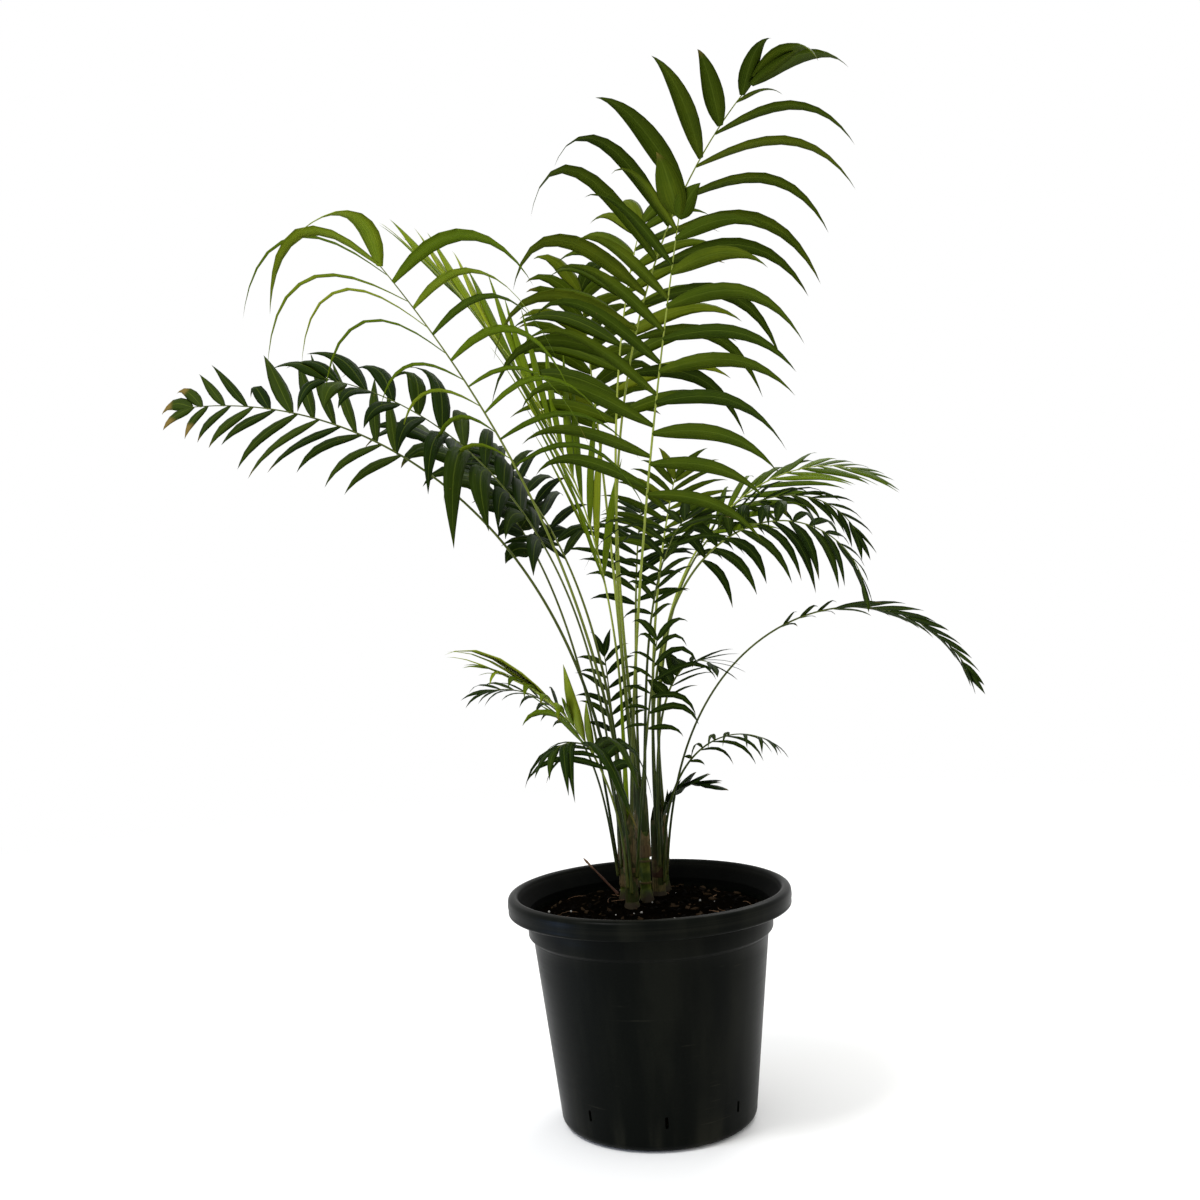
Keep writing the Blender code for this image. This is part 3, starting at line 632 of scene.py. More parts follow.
def drawAndSpin(profile, steps):
    startFresh()
    bpy.ops.mesh.primitive_plane_add(size=0.01, location=origin)
    piece = bpy.context.object
    bpy.ops.object.mode_set(mode="EDIT")
    bpy.ops.mesh.merge(type="CENTER")
    bpy.ops.transform.translate(value=(profile[0][0], 0.0, profile[0][1]))
    for (fromRadius, fromLevel), (toRadius, toLevel) in zip(profile, profile[1:]):
        bpy.ops.mesh.extrude_region_move(
            TRANSFORM_OT_translate={"value": (toRadius - fromRadius, 0.0, toLevel - fromLevel)})
    bpy.ops.mesh.select_all(action="SELECT")
    bpy.ops.mesh.spin(steps=steps, angle=2.0 * math.pi, center=origin, axis=(0.0, 0.0, 1.0))
    bpy.ops.mesh.select_all(action="SELECT")
    bpy.ops.mesh.remove_doubles(threshold=0.00002)
    leaveEdit(outward=True)
    return piece


def potFinish():
    look = potLook
    finish, tree, shader = newFinish("pot plastic", look["specular"])
    place = objectPlace(tree)
    height = heightOf(tree, place)
    flow = streakGrain(tree, place, look["flow"], 5.0)
    hoops = streakGrain(tree, place, look["hoops"], 3.0)
    cloud = grain(tree, place, look["cloud"], 4.0)
    fine = grain(tree, place, look["fine"], 2.0)
    scratches = streakGrain(tree, place, look["scratches"], 2.0, look["scratchTurn"])
    colour = layOver(tree, look["black"], flow, look["wornMark"], look["worn"])
    colour = layOver(tree, colour, cloud, look["cloudMark"], look["black"])
    scuff = calc(tree, "MULTIPLY", between(tree, scratches, *look["scuffMark"]),
                 between(tree, cloud, *look["scuffCloud"]))
    colour = mixColour(tree, calc(tree, "MULTIPLY", scuff, look["scuffShare"]), colour, look["dust"])
    # dust gathers at the foot and on the lip
    foot = calc(tree, "MULTIPLY", between(tree, height, *look["footMark"]),
                between(tree, flow, *look["footFlow"]))
    lip = calc(tree, "MULTIPLY", between(tree, height, *look["lipMark"]),
               between(tree, hoops, *look["lipHoops"]))
    colour = mixColour(tree, calc(tree, "ADD", foot, lip), colour, look["dust"])
    # painted shade: darker inside, above the soil, and in a thin band under the lip; duller there too
    fromAxis = lengthOf(tree, stretch(tree, place, (1.0, 1.0, 0.0)))
    inside = calc(tree, "MULTIPLY", between(tree, fromAxis, *look["insideReach"]),
                  between(tree, height, *look["insideAbove"]))
    colour = mixColour(tree, calc(tree, "MULTIPLY", inside, look["insideShadeShare"]), colour, look["insideShadeBlack"])
    rough = plus(tree, cloud, look["cloudRough"], look["roughness"])
    rough = plus(tree, inside, look["insideRough"], rough)
    rough = plus(tree, hoops, look["hoopRough"], plus(tree, scuff, look["scuffRough"], rough))
    relief = plus(tree, hoops, look["hoopRelief"], calc(tree, "MULTIPLY", fine, look["fineRelief"]))
    endFinish(tree, shader, colour, rough, plus(tree, flow, look["flowRelief"], relief), *look["bump"])
    return finish


def slotCutter(turn):
    shape = potShape
    place = bearing(turn) * shape["baseRadius"]
    startFresh()
    bpy.ops.mesh.primitive_cube_add(size=1.0, location=(place.x, place.y, shape["slotLevel"]),
                                    rotation=(0.0, 0.0, math.radians(turn)))
    cutter = bpy.context.object
    cutter.scale = (4 * shape["baseRounding"], shape["slotWidth"], shape["slotHeight"])
    settle(cutter)
    rounding = cutter.modifiers.new("rounding", "BEVEL")
    rounding.width = shape["slotRounding"] * min(shape["slotWidth"], shape["slotHeight"])
    rounding.segments = 3
    applyAll(cutter)
    return cutter


def makePot():
    shape = potShape
    pot = drawAndSpin(potProfile(), shape["steps"])
    cutter = joinAll([slotCutter(shape["slotTurn"] + 360.0 * number / shape["slots"])
                      for number in range(shape["slots"])])
    cut = pot.modifiers.new("slots", "BOOLEAN")
    cut.operation = "DIFFERENCE"
    cut.solver = "EXACT"
    cut.object = cutter
    applyAll(pot)
    bpy.data.objects.remove(cutter)
    settle(pot, shape["smooth"])
    finishWith(pot, "nursery_pot", potFinish(), "pot_plastic", "pot")


makePot()
print("stage: pot")


# soil: a spun body with a rough top, and the chips, grains and rootlets that lie in it

soilShape = {
    "steps": 120, "rings": 34, "edgeRadius": 0.1182, "edgeDrop": 0.005, "edgeFrom": 0.82,
    "edgePower": 1.5, "roughness": 0.0021, "coarse": 55.0, "coarseShare": 0.62, "fine": 420.0,
    "fineHeight": 0.0005, "below": 0.0006, "calmFrom": 0.9, "calmShare": 0.6, "mound": 0.0016,
    "moundAt": (0.0, 0.05), "moundReach": (0.045, 0.06), "coarseSlice": 0.3, "fineSlice": 1.7,
    "coarseNoise": (0.9, 2.1, 4),
    "under": ((0.1182, 0.1875), (0.1135, 0.184), (0.0940, 0.0105), (0.0860, 0.0026), (0.0, 0.0026)),
    "hair": 0.0001, "seed": 11, "smooth": 60.0,
}
chipShape = {
    "count": 620, "kinds": 4, "firstSeed": 20, "reach": 0.113, "least": 0.0022, "spread": 0.0085,
    "power": 2.6, "tilt": 0.35, "narrowest": 0.5, "widest": 1.1, "raised": 0.05, "darkPower": 3.2,
    "slab": (1.0, 0.55, 0.24), "cutAt": 0.32, "slant": 0.7, "tip": 0.4, "bevel": 0.05,
}
grainShape = {
    "count": 16, "reach": 0.108, "size": (0.0010, 0.0026), "raised": 0.15, "uneven": 0.35, "lumps": 3.1,
}
rootletShape = {
    "count": 22, "reach": 0.100, "edge": 0.112, "rows": 15, "step": 0.0016, "radius": (0.00022, 0.00048),
    "thinner": 0.55, "curl": 9.0, "sway": 12.0, "swayStep": 0.9, "lift": 0.0009, "sunk": 0.00035,
    "sides": 6, "tones": (0.3, 1.0),
}
soilLook = {
    "black": (0.0010, 0.0008, 0.0005), "brown": (0.0036, 0.0025, 0.0013),
    "chipDark": (0.0016, 0.0012, 0.0008), "chipTan": (0.024, 0.015, 0.008),
    "grainWhite": (0.30, 0.29, 0.27), "crumbs": 260.0, "patches": 38.0, "dots": 900.0,
    "brownMark": (0.44, 0.66), "blackMark": (0.42, 0.60, 0.75, 0.0), "dotMark": (0.72, 0.78, 0.0, 0.6),
    "roughMark": (0.3, 0.7, 0.82, 1.0), "bump": (0.9, 0.0012), "chipSpecular": 0.01,
    "chipRoughness": 0.85, "chipFibre": (900.0, 260.0, 260.0), "fibreLight": 0.5, "tanMark": (0.15, 0.95),
    "chipBump": (0.8, 0.0006),
}


def soilHeight(x, y):
    shape = soilShape
    out = min(1.0, math.hypot(x, y) / shape["edgeRadius"])
    edge = max(0.0, (out - shape["edgeFrom"]) / (1.0 - shape["edgeFrom"]))
    drop = shape["edgeDrop"] * edge ** shape["edgePower"]
    aside = (x - shape["moundAt"][0]) / shape["moundReach"][0]
    behind = (y - shape["moundAt"][1]) / shape["moundReach"][1]
    mound = shape["mound"] * math.exp(-(aside ** 2 + behind ** 2))
    coarse = noise.fractal(Vector((x, y, shape["coarseSlice"])) * shape["coarse"], *shape["coarseNoise"])
    fine = noise.noise(Vector((x, y, shape["fineSlice"])) * shape["fine"])
    keep = 1.0 - shape["calmShare"] * max(0.0, (out - shape["calmFrom"]) / (1.0 - shape["calmFrom"]))
    rough = shape["roughness"] * shape["coarseShare"] * coarse + shape["fineHeight"] * fine
    return soilLevel - shape["below"] - drop + mound + keep * rough


def soilFinish():
    look = soilLook
    finish, tree, shader = newFinish("potting soil", 0.0)
    place = objectPlace(tree)
    crumbs = grain(tree, place, look["crumbs"], 6.0, 0.7)
    patches = grain(tree, place, look["patches"], 3.0)
    dots = grain(tree, place, look["dots"], 2.0)
    colour = layOver(tree, look["black"], crumbs, look["brownMark"], look["brown"])
    colour = layOver(tree, colour, patches, look["blackMark"], look["black"])
    colour = layOver(tree, colour, dots, look["dotMark"], look["chipTan"])
    rough = between(tree, patches, *look["roughMark"])
    endFinish(tree, shader, colour, rough, calc(tree, "ADD", crumbs, dots), *look["bump"])
    return finish


def crumbFinish():
    # chips by tone from nearly black to tan, and the white grains
    look = soilLook
    finish, tree, shader = newFinish("soil crumbs", look["chipSpecular"])
    fibre = streakGrain(tree, objectPlace(tree), look["chipFibre"], 4.0)
    tone = plus(tree, calc(tree, "SUBTRACT", fibre, 0.5), look["fibreLight"], attribute(tree, "tone"))
    colour = layOver(tree, look["chipDark"], tone, look["tanMark"], look["chipTan"])
    colour = mixColour(tree, attribute(tree, "age"), colour, look["grainWhite"])
    endFinish(tree, shader, colour, look["chipRoughness"], fibre, *look["chipBump"])
    return finish


def copiesOf(source, places, name):
    # one joined mesh of moved copies, which then stand for the source: places are (matrix, tone, age)
    points, faces, tones, ages = [], [], [], []
    corners = [corner.co.copy() for corner in source.data.vertices]
    shapes = [tuple(face.vertices) for face in source.data.polygons]
    for matrix, tone, age in places:
        first = len(points)
        points += [tuple(matrix @ corner) for corner in corners]
        faces += [tuple(first + number for number in shape) for shape in shapes]
        tones += [tone] * len(corners)
        ages += [age] * len(corners)
    bpy.data.objects.remove(source)
    return pieceOf(name, points, faces, {"tone": tones, "age": ages})


def modelChip(seed):
    # a bark chip: a slab cut askew on two sides and bevelled
    shape = chipShape
    dealer = random.Random(seed)
    startFresh()
    bpy.ops.mesh.primitive_cube_add(size=1.0, location=origin)
    chip = bpy.context.object
    editAll()
    bpy.ops.transform.resize(value=shape["slab"], center_override=origin)
    for side in (1.0, -1.0):
        bpy.ops.mesh.select_all(action="SELECT")
        slant = dealer.uniform(-shape["slant"], shape["slant"])
        tip = dealer.uniform(-shape["tip"], shape["tip"])
        bpy.ops.mesh.bisect(plane_co=(shape["cutAt"] * side, 0.0, 0.0), plane_no=(side, slant, tip),
                            use_fill=True, clear_outer=True)
    bpy.ops.mesh.select_all(action="SELECT")
    bpy.ops.mesh.bevel(offset=shape["bevel"], segments=1, affect="EDGES")
    leaveEdit()
    return chip


def modelGrain():
    startFresh()
    bpy.ops.mesh.primitive_ico_sphere_add(subdivisions=2, radius=0.5, location=origin)
    crumb = bpy.context.object
    for corner in crumb.data.vertices:
        corner.co *= 1.0 + grainShape["uneven"] * noise.noise(corner.co * grainShape["lumps"])
    return crumb


def onSoil(dealer, reach):
    # anywhere on a disc of the soil, evenly spread
    return bearing(dealer.uniform(0.0, 360.0)) * (reach * math.sqrt(dealer.random()))


def makeChips(dealer):
    shape = chipShape
    joined = []
    for kind in range(shape["kinds"]):
        places = []
        for _ in range(shape["count"] // shape["kinds"]):
            out = shape["reach"] * math.sqrt(dealer.random())
            spot = bearing(dealer.uniform(0.0, 360.0)) * out
            size = shape["least"] + shape["spread"] * dealer.random() ** shape["power"]
            tilts = [dealer.gauss(0.0, shape["tilt"]) for _ in range(2)]
            turn = Euler((*tilts, dealer.uniform(0.0, wholeTurn)))
            place = Vector((spot.x, spot.y, soilHeight(spot.x, spot.y) + shape["raised"] * size))
            scale = Vector((size, size * dealer.uniform(shape["narrowest"], shape["widest"]), size))
            tone = dealer.random() ** shape["darkPower"]
            places.append((Matrix.LocRotScale(place, turn, scale), tone, 0.0))
        joined.append(copiesOf(modelChip(shape["firstSeed"] + kind), places, "chips"))
    shape = grainShape
    places = []
    for _ in range(shape["count"]):
        spot = onSoil(dealer, shape["reach"])
        size = dealer.uniform(*shape["size"])
        place = Vector((spot.x, spot.y, soilHeight(spot.x, spot.y) + shape["raised"] * size))
        places.append((Matrix.Translation(place) @ Matrix.Scale(size, 4), 0.0, 1.0))
    joined.append(copiesOf(modelGrain(), places, "grains"))
    chips = joinAll(joined)
    settle(chips)
    finishWith(chips, "soil_chips", crumbFinish(), "soil")


def makeRootlets(dealer):
    shape = rootletShape
    store = newStore()
    rows = shape["rows"]
    for number in range(shape["count"]):
        spot = onSoil(dealer, shape["reach"])
        heading = dealer.uniform(0.0, 360.0)
        curl = dealer.uniform(-shape["curl"], shape["curl"])
        radius = dealer.uniform(*shape["radius"])
        points, frames = [], []
        for step in range(rows):
            sway = shape["sway"] * math.sin(step * shape["swayStep"] + number)
            way = bearing(heading + curl * step + sway)
            rise = shape["lift"] * math.sin(math.pi * step / (rows - 1)) - shape["sunk"]
            points.append(Vector((spot.x, spot.y, soilHeight(spot.x, spot.y) + rise + radius)))
            frames.append((way, Vector((way.y, -way.x, 0.0)), up))
            spot = spot + way * shape["step"]
            if spot.length > shape["edge"]:
                spot = spot * (shape["edge"] / spot.length)
        radii = [radius * (1.0 - shape["thinner"] * step / (rows - 1)) for step in range(rows)]
        shade = dealer.random()
        tone = dealer.uniform(*shape["tones"])
        addTube(store, points, frames, radii, shape["sides"], 1.0, shade, tone, 0.0)
    finishWith(pieceFrom(store, "rootlets"), "rootlets", dryFinish(), "soil")


def makeSoil():
    shape = soilShape
    rings = shape["rings"]
    top = [(shape["edgeRadius"] * ring / rings, soilLevel) for ring in range(rings + 1)]
    soil = drawAndSpin(top + list(shape["under"]), shape["steps"])
    for corner in soil.data.vertices:
        if corner.co.z > soilLevel - shape["hair"]:
            corner.co.z = soilHeight(corner.co.x, corner.co.y)
    settle(soil, shape["smooth"])
    finishWith(soil, "potting_mix", soilFinish(), "soil", "potting_soil")
    dealer = random.Random(shape["seed"])
    makeChips(dealer)
    makeRootlets(dealer)


makeSoil()
print("stage: soil")


# canes: a circle extruded up joint by joint

Cane = namedtuple("Cane", "name x y height")
canes = [
    Cane("front_left", -0.017, 0.012, 0.075),
    Cane("middle", -0.002, 0.034, 0.085),
    Cane("right", 0.012, 0.054, 0.060),
    Cane("left", -0.022, 0.048, 0.080),
    Cane("back", -0.004, 0.087, 0.095),
    Cane("back_right", 0.018, 0.080, 0.070),
]
caneShape = {
    "radius": 0.0057, "topRadius": 0.0063, "flareRadius": 0.0082, "flareHeight": 0.011,
    "ringSpacing": 0.022, "ringHeight": 0.0022, "ringProud": 0.0007, "sides": 28, "gap": 0.0003,
    "foot": -0.0015, "solidSides": 8,
    # the flare above its foot: rise and share of its radius
    "flare": ((0.002, 0.93), (0.006, 0.80)),
    # each ring: rise, share of the radius, share of how proud it stands, and how much of it is scar
    "ring": ((-0.0075, 0.95, 0.0, 0.0), (-0.0016, 0.985, 0.0, 0.0), (-0.0007, 1.0, 1.0, 1.0),
             (0.0006, 1.0, 0.8, 1.0), (0.0011, 0.93, 0.0, 0.4), (0.0045, 0.95, 0.0, 0.0)),
    "flareTop": 1.02, "crown": ((-0.003, 0.97, 0.0), (0.0, 0.92, 0.3)), "inset": 0.0012, "dip": 0.0008,
    "uneven": 0.035, "lumps": (90.0, 90.0, 60.0), "nextLumps": 7.0, "smooth": 50.0,
}


def caneRows(cane):
    # (level, radius, scar) from the soil to the top
    shape = caneShape
    radius, flare = shape["radius"], shape["flareRadius"]
    top = soilLevel + shape["gap"] + cane.height
    rows = [(soilLevel + shape["foot"], flare, 0.0)]
    rows += [(soilLevel + rise, flare * share, 0.0) for rise, share in shape["flare"]]
    rows.append((soilLevel + shape["flareHeight"], radius * shape["flareTop"], 0.0))
    rings = []
    ring = top - shape["ringSpacing"]
    while ring > soilLevel + shape["flareHeight"] + shape["ringHeight"]:
        rings.insert(0, ring)
        ring -= shape["ringSpacing"]
    for ring in rings:
        rows += [(ring + rise, radius * share + shape["ringProud"] * proud, scar)
                 for rise, share, proud, scar in shape["ring"]]
    return rows + [(top + rise, shape["topRadius"] * share, scar) for rise, share, scar in shape["crown"]]


def modelCane(cane, number):
    shape = caneShape
    rows = caneRows(cane)
    startFresh()
    bpy.ops.mesh.primitive_circle_add(vertices=shape["sides"], radius=rows[0][1], fill_type="NGON",
                                      location=(0.0, 0.0, rows[0][0]))
    piece = bpy.context.object
    editAll()
    for (level, radius, _), (nextLevel, nextRadius, _) in zip(rows, rows[1:]):
        drawUp(nextLevel - level, nextRadius / radius, nextLevel)
    bpy.ops.mesh.inset(thickness=shape["inset"])
    bpy.ops.transform.translate(value=(0.0, 0.0, -shape["dip"]))
    leaveEdit(outward=True)
    settle(piece)
    scars = []
    for corner in piece.data.vertices:
        scars.append(min(rows, key=lambda row: abs(row[0] - corner.co.z))[2])
        # a slightly uneven skin
        lumps = Vector([place * often for place, often in zip(corner.co, shape["lumps"])])
        lumps.z += shape["nextLumps"] * number
        swell = 1.0 + shape["uneven"] * noise.noise(lumps)
        corner.co.x = corner.co.x * swell + cane.x
        corner.co.y = corner.co.y * swell + cane.y
    addLayer(piece.data, "ring", scars)
    return piece


def makeCanes():
    joined = joinAll([modelCane(cane, number) for number, cane in enumerate(canes)])
    settle(joined, caneShape["smooth"])
    finishWith(joined, "palm_canes", caneFinish(), "cane", *["cane_" + cane.name for cane in canes])


makeCanes()
print("stage: canes")


# fronds: the rule of the source, with finer stalks and leaflets

Frond = namedtuple("Frond", "name tone cane seat foot heading leanLow leanTip bend length stalk "
                            "pairs leaf width openLow openTip roll droop lift low tip twist")
fronds = [
    Frond("tall_front", "mid", "front_left", -20, None, -76, 8, 36, 0.7, 0.605, 0.56,
          9, 0.150, 0.015, 77, 50, 45, 0.95, 1, 0.86, 0.55, -6),
    Frond("top_right", "mid", "middle", 120, None, -50, -7, 62, 1.9, 0.758, 0.58,
          9, 0.202, 0.016, 87, 26, 9, 1.60, 7, 0.85, 0.52, -12),
    Frond("tall_back", "mid", "back", 0, None, 66, -11, 38, 1.65, 0.645, 0.60,
          9, 0.144, 0.016, 68, 42, -10, 0.90, 0, 0.85, 0.62, 4),
    Frond("upper_back_left", "mid", "back", 180, None, 105, 9, 19, 2.0, 0.570, 0.70,
          8, 0.098, 0.016, 62, 42, -5, 0.96, 4, 0.85, 0.75, 12),
    Frond("arch_left", "bright", "front_left", 225, None, 226, 1, 48, 0.8, 0.610, 0.62,
          8, 0.160, 0.009, 62, 56, -2, 2.60, 15, 1.00, 0.95, -12),
    Frond("bright_left", "bright", "left", 60, None, 160, -4, 42, 1.35, 0.588, 0.40,
          13, 0.170, 0.011, 30, 13, 10, 0.06, 10, 0.90, 0.80, -14),
    Frond("dark_left", "dark", "front_left", 178, 0.040, 195, 2.3, 78.5, 1.86, 0.604, 0.55,
          10, 0.124, 0.018, 68, 47, 30, 1.20, 7, 0.95, 0.50, -8),
    Frond("far_left", "dark", "left", 180, None, 181, 7.5, 93, 1.39, 0.668, 0.66,
          10, 0.112, 0.013, 66, 57, 48, 0.72, 9, 0.80, 0.40, -10),
    Frond("broad_left", "dark", "left", 150, 0.030, 150, 7, 61, 2.1, 0.525, 0.64,
          8, 0.105, 0.023, 68, 40, 8, 0.72, 10, 0.70, 0.85, 8),
    Frond("right_upper", "bright", "back_right", 0, None, 12.5, -2.5, 105.3, 1.95, 0.506, 0.60,
          11, 0.085, 0.014, 56, 22, -28, 0.30, -8, 0.90, 0.60, 4),
    Frond("right_drooping", "dark", "right", -90, None, -33.5, -0.5, 166.0, 2.35, 0.505, 0.58,
          12, 0.096, 0.011, 72, 40, 32, 2.00, 5, 0.70, 0.45, 12),
    Frond("right_middle", "dark", "right", 30, None, 6, 2, 154, 2.9, 0.500, 0.58,
          12, 0.060, 0.010, 52, 22, 32, 0.96, -3, 0.85, 0.60, 8),
    Frond("right_long", "dark", "right", -4, 0.022, -1.8, 6.2, 154.0, 1.7, 0.510, 0.56,
          12, 0.043, 0.010, 32, 26, 17, 0.24, 4, 0.80, 0.55, -12),
    Frond("right_short", "dark", "right", -45, 0.015, -40, 1, 109, 1.65, 0.236, 0.55,
          6, 0.052, 0.007, 66, 52, 16, 1.60, 0, 0.65, 0.55, 6),
    Frond("right_lowest", "dark", "right", 52, 0.022, -8, -3, 100, 2.6, 0.115, 0.50,
          5, 0.032, 0.008, 34, 24, 12, 0.30, 4, 0.80, 0.90, 5),
    Frond("low_left", "bright", "front_left", 245, 0.020, 215, 1, 70, 1.25, 0.286, 0.48,
          8, 0.084, 0.012, 46, 28, 2, 0.50, 3, 0.85, 0.65, -6),
    Frond("low_left_back", "dark", "left", 205, 0.025, 190, 7, 95, 2.6, 0.253, 0.63,
          7, 0.058, 0.008, 60, 40, 15, 1.00, 6, 0.80, 0.70, -10),
    Frond("hand", "dark", "front_left", 270, 0.015, 236, 1, 105.2, 1.95, 0.227, 0.55,
          6, 0.078, 0.010, 62, 28, 0, 2.10, 4, 0.95, 0.55, 8),
    Frond("low_right", "dark", "right", -80, 0.032, -60, 1, 110, 2.8, 0.276, 0.63,
          7, 0.055, 0.009, 54, 32, 6, 0.40, 6, 0.70, 0.65, 6),
    Frond("back_right", "mid", "back_right", 165, None, 61, -4, 31, 1.1, 0.378, 0.76,
          8, 0.080, 0.012, 72, 45, -14, 0.42, 2, 0.85, 0.60, 8),
    Frond("front_middle", "dark", "middle", -60, None, -60, 6, 60, 3.2, 0.322, 0.62,
          8, 0.082, 0.012, 62, 42, -2, 0.60, 7, 0.65, 0.80, 5),
    Frond("low_back", "dark", "left", 105, 0.040, 110, 1, 15, 1.5, 0.210, 0.60,
          6, 0.046, 0.009, 63, 46, 10, 0.54, 2, 0.85, 0.70, 0),
    Frond("low_front", "dark", "front_left", -40, 0.030, -70, 12, 24, 0.7, 0.253, 0.61,
          6, 0.062, 0.008, 84, 43, 2, 1.14, 3, 0.70, 0.70, 8),
    Frond("middle_back_left", "dark", "left", -60, None, 138, 3, 52, 1.5, 0.430, 0.64,
          9, 0.082, 0.015, 62, 48, 5, 0.66, 7, 0.85, 0.60, 5),
    Frond("middle_back", "dark", "back", 82, 0.050, 82, 4, 58, 1.8, 0.400, 0.63,
          9, 0.084, 0.013, 62, 50, -4, 0.66, 7, 0.70, 0.80, 8),
]
firstFrondSeed = 101
stalkShape = {
    "footRadius": 0.0025, "sideFootRadius": 0.0020, "endRadius": 0.0014, "taper": 0.6,
    "tipRadius": 0.0006, "topSeat": 0.0035, "gap": 0.0006, "sideGap": 0.00045, "steps": 60, "rows": 64,
    "rowPower": 1.15, "sides": 10, "flatten": 0.55, "slimmer": 0.88, "footSwell": 0.30,
    "footReach": 0.018, "agedReach": 0.05, "toneSpread": 0.08,
    "tones": {"bright": 0.78, "mid": 0.66, "dark": 0.36, "arch_left": 0.40},
    # how light a stalk is by its distance from its foot
    "lightness": ((0.0, 0.20), (0.08, 0.35), (0.22, 0.95), (0.40, 1.0), (0.75, 0.8)),
}
leafShape = {
    "steps": 16, "droopPower": 2.0, "widest": 0.4, "terminalWider": 1.3, "terminalOpening": 0.6,
    "first": 0.3, "stagger": 0.25, "terminals": ((0.99, -1.0), (0.999, 1.0)), "widthFollows": 0.4,
    "curl": 0.35, "curlPower": 6, "curlDealt": (0.3, 1.0), "bowDealt": (0.2, 1.0),
    "stations": (0.0, 0.05, 0.13, 0.26, 0.42, 0.60, 0.78, 0.92, 1.0),
    "longStations": (0.0, 0.04, 0.10, 0.19, 0.30, 0.40, 0.50, 0.59, 0.68, 0.77, 0.86, 0.94, 1.0),
    "longFrom": 0.120, "smallBelow": 0.095, "smallNarrower": 0.70, "smallLonger": 1.12,
    "widths": ((0.0, 0.28), (0.045, 0.42), (0.12, 0.68), (0.24, 0.94), (0.38, 1.0), (0.53, 0.91),
               (0.68, 0.68), (0.82, 0.38), (0.93, 0.14), (1.0, 0.01)),
    # a section: each half stands up in an arch, the edges fold down, and the rib lies in a groove
    "archAt": 0.52, "fold": 0.20, "arch": 0.10, "groove": 0.05, "thickness": 0.00042,
    "rootThickness": 0.0012, "rootReach": 0.08, "mostThickness": 0.9, "ripple": 0.05, "ripples": 9.0,
    "mapAcross": (0.0, 0.24, 0.5, 0.76, 1.0, 0.5), "twistSpread": 20.0, "openSpread": 4.0,
    "lengthSpread": 0.10, "widthSpread": 0.12, "droopSpread": 0.22, "wildestDroop": 2.0, "bow": 0.05,
    "shade": (0.5, 0.22), "agedShare": 0.45, "age": (0.15, 0.5), "oldest": 0.65,
}


def stemFrame(frond, t):
    lean = math.radians(frond.leanLow + (frond.leanTip - frond.leanLow) * t ** frond.bend)
    ahead = bearing(frond.heading)
    along = ahead * math.sin(lean) + up * math.cos(lean)
    side = Vector((ahead.y, -ahead.x, 0.0))
    face = side.cross(along)
    roll = math.radians(frond.roll)
    return along, side * math.cos(roll) + face * math.sin(roll), face * math.cos(roll) - side * math.sin(roll)


def stemFoot(frond):
    shape = stalkShape
    cane = next(item for item in canes if item.name == frond.cane)
    if frond.foot is None:
        lean = abs(math.radians(frond.leanLow))
        level = cane.height + shape["gap"] + shape["footRadius"] * math.sin(lean)
        away = shape["topSeat"]
    else:
        # the solid cane has flat sides, and the foot lies against the one it meets
        level = frond.foot
        side = 360.0 / caneShape["solidSides"]
        off = math.radians(frond.seat % side - 0.5 * side)
        away = caneShape["radius"] * math.cos(math.radians(0.5 * side)) / math.cos(off)
        away += shape["sideGap"] + shape["sideFootRadius"]
    return Vector((cane.x, cane.y, soilLevel + level)) + bearing(frond.seat) * away


def stemLine(frond):
    steps = stalkShape["steps"]
    points = [stemFoot(frond)]
    for step in range(steps):
        points.append(points[-1] + stemFrame(frond, (step + 0.5) / steps)[0] * (frond.length / steps))
    return points


def pointAt(line, t):
    place = min(max(t, 0.0), 1.0) * (len(line) - 1)
    step = min(int(place), len(line) - 2)
    return line[step].lerp(line[step + 1], place - step)


def stalkRadius(frond, t):
    shape = stalkShape
    foot = shape["footRadius"] if frond.foot is None else shape["sideFootRadius"]
    end, tip = shape["endRadius"], shape["tipRadius"]
    if t < frond.stalk:
        radius = foot + (end - foot) * (t / frond.stalk) ** shape["taper"]
    else:
        radius = end + (tip - end) * (t - frond.stalk) / (1.0 - frond.stalk)
    swell = 1.0 + shape["footSwell"] * math.exp(-t * frond.length / shape["footReach"])
    return radius * shape["slimmer"] * swell


def addStalk(store, frond, dealer):
    # stalk and rib in one tapering limb, flatter on its upper side
    shape = stalkShape
    line = stemLine(frond)
    tone = shape["tones"].get(frond.name, shape["tones"][frond.tone])
    tone += dealer.uniform(-shape["toneSpread"], shape["toneSpread"])
    points, frames, radii, tones, ages = [], [], [], [], []
    for row in range(shape["rows"] + 1):
        t = (row / shape["rows"]) ** shape["rowPower"]
        points.append(pointAt(line, t))
        frames.append(stemFrame(frond, t))
        radii.append(stalkRadius(frond, t))
        tones.append(tone * ease(t * frond.length, shape["lightness"]))
        ages.append(max(0.0, 1.0 - t * frond.length / shape["agedReach"]))
    addTube(store, points, frames, radii, shape["sides"], shape["flatten"], dealer.random(), tones, ages)


def leafletStations(frond):
    shape = leafShape
    stations = []
    for pair in range(frond.pairs):
        share = (pair + shape["first"]) / frond.pairs
        stations.append((share, -1.0))
        stations.append((share + shape["stagger"] / frond.pairs, 1.0))
    return stations + list(shape["terminals"])


def leafletShare(frond, share):
    widest = leafShape["widest"]
    if share < widest:
        return frond.low + (1.0 - frond.low) * share / widest
    return 1.0 + (frond.tip - 1.0) * (share - widest) / (1.0 - widest)


def spread(dealer, reach):
    return dealer.uniform(-1, 1) * reach


